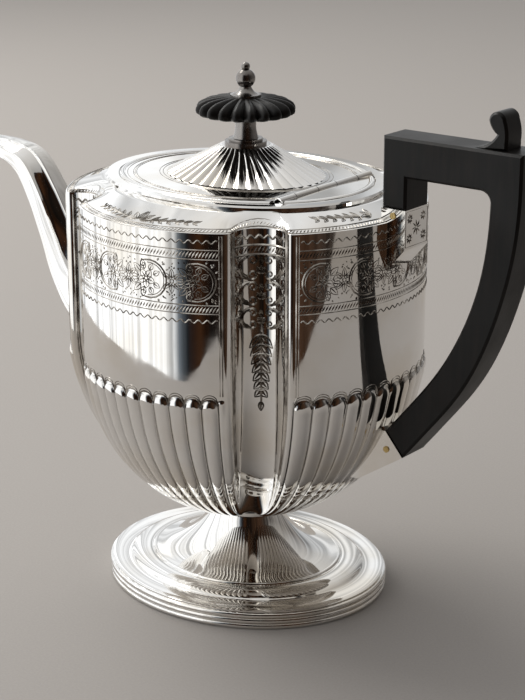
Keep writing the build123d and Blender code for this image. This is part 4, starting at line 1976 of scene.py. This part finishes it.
def medallion(centre: Pair, radius: float) -> list[Stroke]:
    """A double C that opens to the left, with a flower and leaves inside it and seed cuts outside.

    Args:
        centre: Its centre.
        radius: Its outer radius.

    Returns:
        The strokes.
    """
    made = [arc(centre, radius, -104, 104, 0.62), arc(centre, radius - 0.95, -96, 96, 0.34)]
    inner = (centre[0] - 1.2, centre[1])
    made += flower(inner, radius * 0.5, 5, 54.0)
    for side in (1, -1):
        made += ring_of_leaves(inner, radius * 0.5, (side * 28, side * 64), radius * 0.4, 1.9)
        made += ring_of_leaves(inner, radius * 0.46, (side * 104, side * 136, side * 168), radius * 0.58, 2.3)
        end = math.radians(104)
        tip = (centre[0] + radius * math.cos(end) - 0.6, centre[1] + side * (radius * math.sin(end) - 1.5))
        made.append(scroll(tip, 1.5, side * 76, side * 1.1, 0.55))
        for k in range(5):
            heading = side * (12 + 17 * k)
            reach = radius + 0.75
            bearing = math.radians(heading)
            start = (centre[0] + reach * math.cos(bearing), centre[1] + reach * math.sin(bearing))
            if abs(start[1] - centre[1]) < 7.3:
                made.append(cut(start, heading, 1.4, 0, 0.6))
    return made


def leaf_knot(centre: Pair, height: float) -> list[Stroke]:
    """Leaves above and below a bead, for the gap between two medallions.

    Args:
        centre: Its centre.
        height: Half its height.

    Returns:
        The strokes.
    """
    made = [arc(centre, 0.7, 0, 360, 0.4)]
    for side in (90, 270):
        made += ring_of_leaves(centre, 1.1, (side - 48, side, side + 48), height * 0.66, 1.7)
        made += spray((centre[0], centre[1]), side, 20, 2, 1.6, 10, 0.55, height * 0.86)
    return made


def wriggle(start: float, end: float, z: float, step: float = 3.2, swing: float = 0.6) -> Stroke:
    """A wavy line made by rocking the graver.

    Args:
        start: Where it starts.
        end: Where it ends.
        z: Its height.
        step: Length of a wave.
        swing: Its swing to each side.

    Returns:
        The stroke.
    """
    s = np.linspace(start, end, int((end - start) / step * 6) + 1)
    wave = np.sin(TAU * (s - start) / step)
    return line(np.stack([s, z + swing * wave], axis=-1), 0.46)


@dataclass
class PanelOrnament:
    """The engraving of one panel: frame lines, borders, the leaf band and the arcs over the lobes.

    Attributes:
        body: The chased body.
        panel: The panel.
    """

    body: ChasedBody
    panel: Panel

    def __post_init__(self) -> None:
        """Finds how far the engraving reaches from the middle."""
        self.reach = self.body.plan.half(self.panel) - self.body.plan.sizes.edge_round - 0.3

    def frame_lines(self) -> list[Stroke]:
        """The double line down each side and the fine lines that bound the borders.

        Returns:
            The strokes.
        """
        made = []
        heights = np.linspace(96.5, 155.0, 9)
        for inset, width in ((0.3, 0.5), (1.25, 0.32)):
            for side in (-1, 1):
                made.append(line([(side * (self.reach - inset), z) for z in heights], width))
        for z in (149.9, 146.5, 130.0, 126.9):
            made.append(self.level(z, 0.4))
        return made

    def level(self, z: float, width: float) -> Stroke:
        """A level line across the panel."""
        return line([(s, z) for s in np.linspace(-self.reach + 1.3, self.reach - 1.3, 25)], width)

    def band(self) -> list[Stroke]:
        """The band of wreaths between two leaf scrolls.

        Returns:
            The strokes.
        """
        middle, radius = 138.1, 6.9
        count = 4 if self.panel in (Panel.FRONT, Panel.BACK) else 5
        room = self.reach - radius - 2.4
        made = []
        for k in range(count):
            s = (2 * k / (count - 1) - 1) * room
            facing = -1.0 if s < -0.1 else 1.0
            made += moved(medallion((0.0, 0.0), radius), (s, middle), (facing, 1.0))
            if k:
                made += leaf_knot((s - room / (count - 1), middle), 5.2)
        return made + self.seeds(middle, radius, room, count)

    def seeds(self, middle: float, radius: float, room: float, count: int) -> list[Stroke]:
        """Small cuts that fill the ground of the band between its motifs.

        Args:
            middle: Height of the band's middle.
            radius: Radius of a medallion.
            room: Distance from the panel's middle to the last medallion.
            count: How many medallions there are.

        Returns:
            The strokes.
        """
        chance = np.random.default_rng(7 + self.panel.value)
        centres = np.array([(2 * k / (count - 1) - 1) * room for k in range(count)])
        made = []
        for s, z in zip(chance.uniform(-self.reach + 2, self.reach - 2, 420), chance.uniform(-7.0, 7.0, 420)):
            near = centres[np.argmin(np.abs(centres - s))]
            gap = math.hypot(s - near, z)
            knot = abs(abs(s - near) - room / (count - 1)) < 2.4 and abs(z) < 5
            if gap > radius + 0.7 and not knot:
                made.append(cut((s, middle + z), math.degrees(math.atan2(z, s - near)), 0.9, 0, 0.42))
        return made

    def scallops(self) -> list[Stroke]:
        """Two arcs over the head of each lobe.

        Returns:
            The strokes.
        """
        made = []
        grooves = self.body.lobe_edges(self.panel)
        for low, high in zip(grooves[:-1], grooves[1:]):
            half, middle = (high - low) / 2, (low + high) / 2
            if half < 2:
                continue
            across = np.linspace(-1, 1, 9)
            head = self.body.lobes.head_height
            for gap, width in ((1.1, 0.42), (2.1, 0.34)):
                z = self.body.lobes.head_top - head * (1 - np.sqrt(np.clip(1 - across**2, 0, 1))) * 0.72 + gap
                made.append(line(np.stack([middle + across * half, z], axis=-1), width))
        return made

    def engrave(self, engraver: Engraver) -> None:
        """Adds the panel's strokes.

        Args:
            engraver: The piece being made.
        """
        span = self.reach - 1.9
        strokes = self.frame_lines() + self.band() + self.scallops()
        strokes += [wriggle(-span, span, 152.8), wriggle(-span, span, 124.1)]
        engraver.add(self.body.plan.panel_surface(self.panel), strokes)

    def rope_runs(self) -> list[Run]:
        """The two rope borders as paths.

        Returns:
            Points and normals of each path.
        """
        surface = self.body.plan.panel_surface(self.panel)
        s = np.linspace(-self.reach + 1.8, self.reach - 1.8, 40)
        return [surface(np.stack([s, np.full(len(s), z)], axis=-1)) for z in (148.2, 128.4)]


@dataclass
class NicheOrnament:
    """The engraving of one niche: borders, tiers of paired scrolls and a drop of leaves.

    Attributes:
        body: The chased body.
        index: The niche's number.
    """

    body: ChasedBody
    index: int

    def __post_init__(self) -> None:
        """Finds how far the engraving reaches from the middle."""
        self.reach = self.body.plan.half_niche - self.body.plan.sizes.edge_round

    def strokes(self) -> list[Stroke]:
        """All the strokes of the niche.

        Returns:
            The strokes.
        """
        made = []
        for side in (-1, 1):
            for inset, width in ((0.4, 0.42), (1.3, 0.3)):
                made.append(line([(side * (self.reach - inset), z) for z in np.linspace(60, 155, 22)], width))
        edge = self.reach - 1.5
        made += [line([(s, z) for s in np.linspace(-edge, edge, 13)], 0.4) for z in (149.9, 146.5)]
        made.append(wriggle(-edge, edge, 152.8))
        for z, size in ((142.2, 3.0), (132.6, 2.8), (123.4, 2.4)):
            for side in (-1, 1):
                pair = [
                    scroll((3.0, size * 0.75), size * 0.72, 20, 1.3, 0.6),
                    scroll((3.2, -size), size * 0.7, -20, -1.3, 0.6),
                    arc((4.2, 0.0), size * 1.45, -88, 88, 0.62),
                    arc((4.2, 0.0), size * 1.12, -78, 78, 0.34),
                ]
                pair += ring_of_leaves((4.2, 0.0), size * 1.6, (-34, 0, 34), size * 0.72, 1.5)
                made += moved(pair, (0.0, z), (side, 1.0))
            made += ring_of_leaves((0.0, z - size), 0.5, (60, 90, 120), size * 0.9, 1.3)
            made += ring_of_leaves((0.0, z + size * 1.2), 0.4, (270,), size * 0.9, 1.3)
        made.append(line([(0.0, z) for z in np.linspace(118.0, 91.0, 8)], 0.4))
        for k in range(7):
            z, size = 117.0 - 3.5 * k, 6.4 - 0.5 * k
            for heading in (-48, 228):
                made += leaf((0.0, z), heading, size, 2.5, 0.42)
        made += leaf((0.0, 91.6), 270, 3.6, 1.9, 0.42)
        return made

    def engrave(self, engraver: Engraver) -> None:
        """Adds the niche's strokes."""
        engraver.add(self.body.plan.niche_surface(self.index), self.strokes())

    def rope_runs(self) -> list[Run]:
        """The rope border at the niche's head as a path."""
        s = np.linspace(1.9 - self.reach, self.reach - 1.9, 17)
        return [self.body.plan.niche_surface(self.index)(np.stack([s, np.full(len(s), 148.2)], axis=-1))]


@dataclass
class Ornament:
    """All the engraving of the pot, laid on the surfaces of the chased body, shoulder, socket and lid.

    Attributes:
        body: The chased body.
    """

    body: ChasedBody

    def body_pieces(self) -> None:
        """Makes the engraving of the panels and niches, one piece for each side."""
        rope = Border()
        for panel in Panel:
            ornament = PanelOrnament(self.body, panel)
            engraver = Engraver(f"engraving_{panel.name.lower()}_panel", Body.POT)
            ornament.engrave(engraver)
            engraver.make()
            rope.make(f"rope_{panel.name.lower()}_panel", ornament.rope_runs(), Body.POT)
        engraver = Engraver("engraving_niches", Body.POT, 2.6)
        runs = []
        for index in range(4):
            niche = NicheOrnament(self.body, index)
            niche.engrave(engraver)
            runs += niche.rope_runs()
        engraver.make()
        rope.make("rope_niches", runs, Body.POT)

    def shoulder_pieces(self) -> None:
        """Makes the shoulder's border and leaf sprays."""
        plan = self.body.plan
        outer = np.array([c.point for c in self.body.columns[::3]])
        width = np.linalg.norm(plan.oval(outer, plan.sizes.gallery_radius, 0.0)[:, :2] - outer, axis=1)
        loop = np.append(np.arange(len(outer)), 0)
        points, normals = plan.on_shoulder(outer[loop], (1.9 / width)[loop])
        Border(step=1.3, size=(1.2, 0.34, 0.2)).make("shoulder_rope", [(points, normals)], Body.POT)
        engraver = Engraver("engraving_shoulder", Body.POT)

        def edge_lines(path: Array) -> Run:
            index = path[:, 0].astype(int) % len(outer)
            return plan.on_shoulder(outer[index], path[:, 1] / width[index])

        for inset in (0.7, 3.1):
            engraver.add(edge_lines, [line([(k, inset) for k in range(len(outer) + 1)], 0.38)])
        for panel in Panel:
            deep = plan.half(panel)

            def plan_point(s: Array, panel: Panel = panel) -> Run:
                return plan.on_panel(panel, s)

            slope = plan.shoulder_surface(plan_point)
            middle = plan.on_panel(panel, np.array([0.0]))[0]
            room = float(np.linalg.norm(plan.oval(middle, plan.sizes.gallery_radius, 0.0)[0, :2] - middle[0]))

            def surface(path: Array, room: float = room, slope: Surface = slope) -> Run:
                return slope(np.stack([path[:, 0], path[:, 1] / room], axis=-1))

            strokes: list[Stroke] = []
            clear = 9.0 if panel is Panel.HANDLE else 0.0
            for side in (-1, 1):
                part = ring_of_leaves((clear + 0.5, 5.0), 0.8, (15, 50, 90), min(6.0, room - 9.0), 2.2)
                part += [cut((clear + 2.0, 5.0), 12, 24, -10, 0.6)]
                for k in range(6):
                    stem = (clear + 6.0 + 3.5 * k, 5.8 + 0.35 * k)
                    part += leaf(stem, 62 - 5 * k, 4.4 - 0.3 * k, 1.6, 0.4) + leaf(stem, -34, 2.6, 1.2, 0.36)
                    part.append(cut((stem[0] + 1.5, stem[1] + 0.4), 40, 2.6, 16, 0.6))
                strokes += moved([s for s in part if s.path[:, 0].max() < deep - 3], (0.0, 0.0), (side, 1.0))
            engraver.add(surface, strokes)
        engraver.make()

    def socket_piece(self) -> None:
        """Makes the flowers on the outer face of the upper socket."""

        def face(path: Array) -> Run:
            points = np.stack([np.full(len(path), 76.6), path[:, 0], path[:, 1]], axis=-1)
            return points, np.broadcast_to(np.array([1.0, 0.0, 0.0]), points.shape)

        engraver = Engraver("engraving_socket", Body.POT)
        strokes = [line([(-6.8, 147.6), (6.8, 147.6), (6.8, 160.3), (-6.8, 160.3), (-6.8, 147.6)], 0.26)]
        small = ((-4.4, 150.6, 1.6), (4.4, 150.6, 1.6), (-4.2, 157.6, 1.5), (4.2, 157.6, 1.5))
        for y, z, size in ((0.0, 153.9, 2.5), *small):
            for a in np.arange(8) * TAU / 8:
                petal = (y + 0.4 * math.cos(a), z + 0.4 * math.sin(a))
                strokes.append(cut(petal, math.degrees(a), size, 20, 0.6))
        engraver.add(face, strokes)
        engraver.make()

    def lid_pieces(self) -> None:
        """Makes the fine lines and the dotted ring on the lid."""
        engraver = Engraver("engraving_lid", Body.LID)
        start = 44.0

        def flat(path: Array) -> Run:
            angle = np.radians(path[:, 0])
            x, y = path[:, 1] * np.cos(angle), path[:, 1] * 0.8336 * np.sin(angle)
            z = 162.3 + 0.037 * (48.6 - path[:, 1])
            return np.stack([x, y, z], axis=-1), np.broadcast_to(np.array([0.0, 0.0, 1.0]), (len(x), 3))

        runs = []
        for radius in (47.6, 45.2, 43.9, 34.6, 33.2):
            reach = math.degrees(math.acos(min(1.0, 34.4 / radius)))
            path = np.array([(a, radius) for a in np.linspace(reach, 360 - reach, 121)])
            engraver.add(flat, [line(path, 0.28)])
        reach = math.degrees(math.acos(34.0 / start))
        path = np.array([(a, start + 0.55) for a in np.linspace(reach, 360 - reach, 161)])
        runs.append(flat(path))
        engraver.make()
        Border(step=1.7, size=(0.36, 0.36, 0.16), slant=0.0).make("lid_dots", runs, Body.LID)


# ---------------------------------------------------------------- the table and the room
@dataclass(frozen=True)
class Room:
    """What the silver mirrors: a pale cloth, a wide window to the left and a dim warm room behind the viewer.

    Attributes:
        cloth: Colour of the cloth.
        cloth_threads: Colour that its threads lean to.
        floor_reach: How far the cloth reaches from the middle, in millimetres.
        surround_radius: Radius of the near walls in metres.
        surround_height: Their height in metres.
        surround_growth: Azimuth in degrees from -Y towards +X, and how far the walls stand off there.
        stops: Azimuth in degrees, colour and strength of the room's light.
    """

    cloth: str = "#A19C98"
    cloth_threads: str = "#928D89"
    floor_reach: float = 2500.0
    surround_radius: float = 0.36
    surround_height: float = 0.5
    surround_growth: tuple[Pair, ...] = (
        (-128.0, 1.2), (-20.0, 1.05), (8.0, 0.96), (20.0, 1.12), (30.0, 1.22),
        (40.0, 1.05), (52.0, 0.98), (64.0, 1.12), (78.0, 1.4), (96.0, 2.4),
    )
    stops: tuple[tuple[float, str, float], ...] = (
        (-180.0, "#C4C5C6", 0.8),
        (-150.0, "#F4F6F8", 1.1),
        (-60.0, "#F8F9FA", 1.7),
        (-3.0, "#F8F8F7", 1.5),
        (4.0, "#7F8891", 0.7),
        (10.0, "#2A2D31", 0.45),
        (18.0, "#5E3D27", 0.5),
        (26.0, "#1E1B19", 0.4),
        (48.0, "#4A3628", 0.55),
        (66.0, "#5F4636", 0.55),
        (84.0, "#5A524C", 0.55),
        (130.0, "#A19D9A", 0.82),
    )

    def ramp(self, tree: Tree, x: Socket, y: Socket) -> Socket:
        """Adds the colour of the room by direction.

        Args:
            tree: The node tree.
            x: Direction towards the handle.
            y: Direction away from the front.

        Returns:
            A colour socket.
        """
        angle = maths(tree, "ARCTAN2", x, maths(tree, "MULTIPLY", y, -1.0))
        share = maths(tree, "ADD", maths(tree, "DIVIDE", angle, TAU), 0.5)
        made = add_node(tree, "ShaderNodeValToRGB", {"Fac": share})
        stops = made.color_ramp.elements
        while len(stops) < len(self.stops):
            stops.new(0.5)
        for stop, (degrees, _, _) in zip(stops, self.stops):
            stop.position = degrees / 360 + 0.5
        for stop, (_, code, strength) in zip(made.color_ramp.elements, self.stops):
            colour = srgb(code)
            stop.color = (colour[0] * strength, colour[1] * strength, colour[2] * strength, 1.0)
        fold = add_node(
            tree, "ShaderNodeTexNoise", {"W": angle, "Scale": 9.0, "Detail": 4.0}, noise_dimensions="1D"
        ).outputs["Fac"]
        shade = ranged(tree, fold, (0.35, 0.62), (0.45, 1.08))
        return mixed_by(tree, made.outputs["Color"], shade)

    def build_world(self) -> None:
        """Builds the sky of the room, brighter overhead on the window's side."""
        world = bpy.data.worlds.new("room")
        bpy.context.scene.world = world
        world.use_nodes = True
        tree = world.node_tree
        tree.nodes.clear()
        direction = add_node(tree, "ShaderNodeTexCoord").outputs["Generated"]
        parts = add_node(tree, "ShaderNodeSeparateXYZ", {0: direction}).outputs
        walls = self.ramp(tree, parts[0], parts[1])
        high = ranged(tree, parts[2], (0.35, 0.8), (0.0, 1.0))
        side = ranged(tree, parts[0], (-0.7, 0.8), (0.0, 1.0))
        ceiling = mixed(tree, side, srgb("#FFFFFF"), srgb("#A5A29E"))
        colour = mixed(tree, high, walls, ceiling)
        back = add_node(tree, "ShaderNodeBackground", {"Color": colour, "Strength": 0.95})
        add_node(tree, "ShaderNodeOutputWorld", {"Surface": back.outputs[0]})

    def build_floor(self) -> Piece:
        """Builds the plain cloth that the pot stands on.

        Returns:
            The floor.
        """
        reach = self.floor_reach
        corners = [(-reach, -reach, 0.0), (reach, -reach, 0.0), (reach, reach, 0.0), (-reach, reach, 0.0)]
        floor = mesh_object("stage_floor", np.array(corners), [(0, 1, 2, 3)])
        made, tree, shader = blank_material("plain_cloth")
        weave = noise(tree, place_socket(tree), 0.9, 2.0)
        threads = ranged(tree, weave, (0.3, 0.7), (0.0, 0.35))
        colour = mixed(tree, threads, srgb(self.cloth), srgb(self.cloth_threads))
        tree.links.new(colour, shader.inputs["Base Color"])
        shader.inputs["Roughness"].default_value = 0.85
        floor.data.materials.append(made)
        return floor

    def build_surround(self) -> Piece:
        """Builds the near walls that bound the cloth in the silver; only reflections see them.

        Returns:
            The surround.
        """
        count = 120
        degrees = np.linspace(-128, 96, count)
        angle = np.radians(degrees)
        grow = np.interp(degrees, *zip(*self.surround_growth))
        r = self.surround_radius / MM * grow
        low = np.stack([r * np.sin(angle), -r * np.cos(angle), np.zeros(count)], axis=-1)
        high = low + np.stack([0 * r, 0 * r, self.surround_height / MM * grow], axis=-1)
        faces = [(i, i + 1, count + 1 + i, count + i) for i in range(count - 1)]
        wall = mesh_object("stage_surround", np.concatenate([low, high]), faces)
        made = bpy.data.materials.new("room_glow")
        made.use_nodes = True
        tree = made.node_tree
        tree.nodes.clear()
        parts = add_node(
            tree, "ShaderNodeSeparateXYZ", {0: add_node(tree, "ShaderNodeTexCoord").outputs["Object"]}
        ).outputs
        colour = self.ramp(tree, parts[0], parts[1])
        glow = add_node(tree, "ShaderNodeEmission", {"Color": colour, "Strength": 1.0})
        add_node(tree, "ShaderNodeOutputMaterial", {"Surface": glow.outputs[0]})
        wall.data.materials.append(made)
        wall.visible_camera = False
        wall.visible_diffuse = False
        wall.visible_shadow = False
        wall.visible_transmission = False
        return wall

    def build_light(self) -> Piece:
        """Builds the large soft light at the window's side.

        Returns:
            The light.
        """
        data = bpy.data.lights.new("window_light", "AREA")
        data.shape = "RECTANGLE"
        data.size, data.size_y = 1.3, 1.1
        data.energy = 22.0
        data.color = srgb("#FFFDF8")[:3]
        made = bpy.data.objects.new("stage_window_light", data)
        bpy.context.scene.collection.objects.link(made)
        made.location = (-1.25, 0.15, 1.15)
        aim = Vector((0.0, 0.0, 0.08)) - Vector(made.location)
        made.rotation_euler = aim.to_track_quat("-Z", "Y").to_euler()
        return made

    def build(self) -> None:
        """Builds everything that isn't part of the pot."""
        self.build_world()
        self.build_floor()
        self.build_surround()
        self.build_light()


def place_camera() -> None:
    """Places the camera for the main picture."""
    data = bpy.data.cameras.new("main_camera")
    data.lens = 96.38
    data.sensor_width = 36.0
    data.sensor_height = 36.0
    data.sensor_fit = "VERTICAL"
    data.clip_start = 0.01
    made = bpy.data.objects.new("main_camera", data)
    bpy.context.scene.collection.objects.link(made)
    made.location = (0.4275, -0.5403, 0.3166)
    made.rotation_euler = Vector((-0.5834, 0.7512, -0.3086)).to_track_quat("-Z", "Y").to_euler()
    bpy.context.scene.camera = made


PLAIN_SILVER = (
    "foot_rim", "neck_ring", "gallery", "hinge_plate", "body_hinge_knuckles", "hinge_pin", "spout_drop",
    "upper_socket", "lower_socket", "lid", "lid_bezel", "lid_hinge_knuckles", )
DULL_SILVER = ("finial_collar", "finial_pedestal", "finial_knob")
PLAIN_BRASS = ("upper_handle_pin", "lower_handle_pin", "finial_stud", "finial_washer", "finial_nut")


def main() -> None:
    """Builds the pot's looks in order."""
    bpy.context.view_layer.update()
    plan = BodyPlan()
    body = ChasedBody(plan)
    spout = Spout(plan)
    shell = body.build()
    carve(shell, spout.channel())
    body.dress(shell)
    for maker in (OvalFoot(), Shoulder(body), spout, FlutedCone(), LobedDisc(), Handle()):
        maker.dress(maker.build())
    ornament = Ornament(body)
    ornament.body_pieces()
    ornament.shoulder_pieces()
    ornament.socket_piece()
    ornament.lid_pieces()
    repaint(PLAIN_SILVER, SILVER)
    repaint(DULL_SILVER, DARK_FINIAL_SILVER)
    repaint(PLAIN_BRASS, BRASS)
    Room().build()
    place_camera()
    bpy.context.scene.view_settings.view_transform = "Standard"


if __name__ == "__main__":
    main()
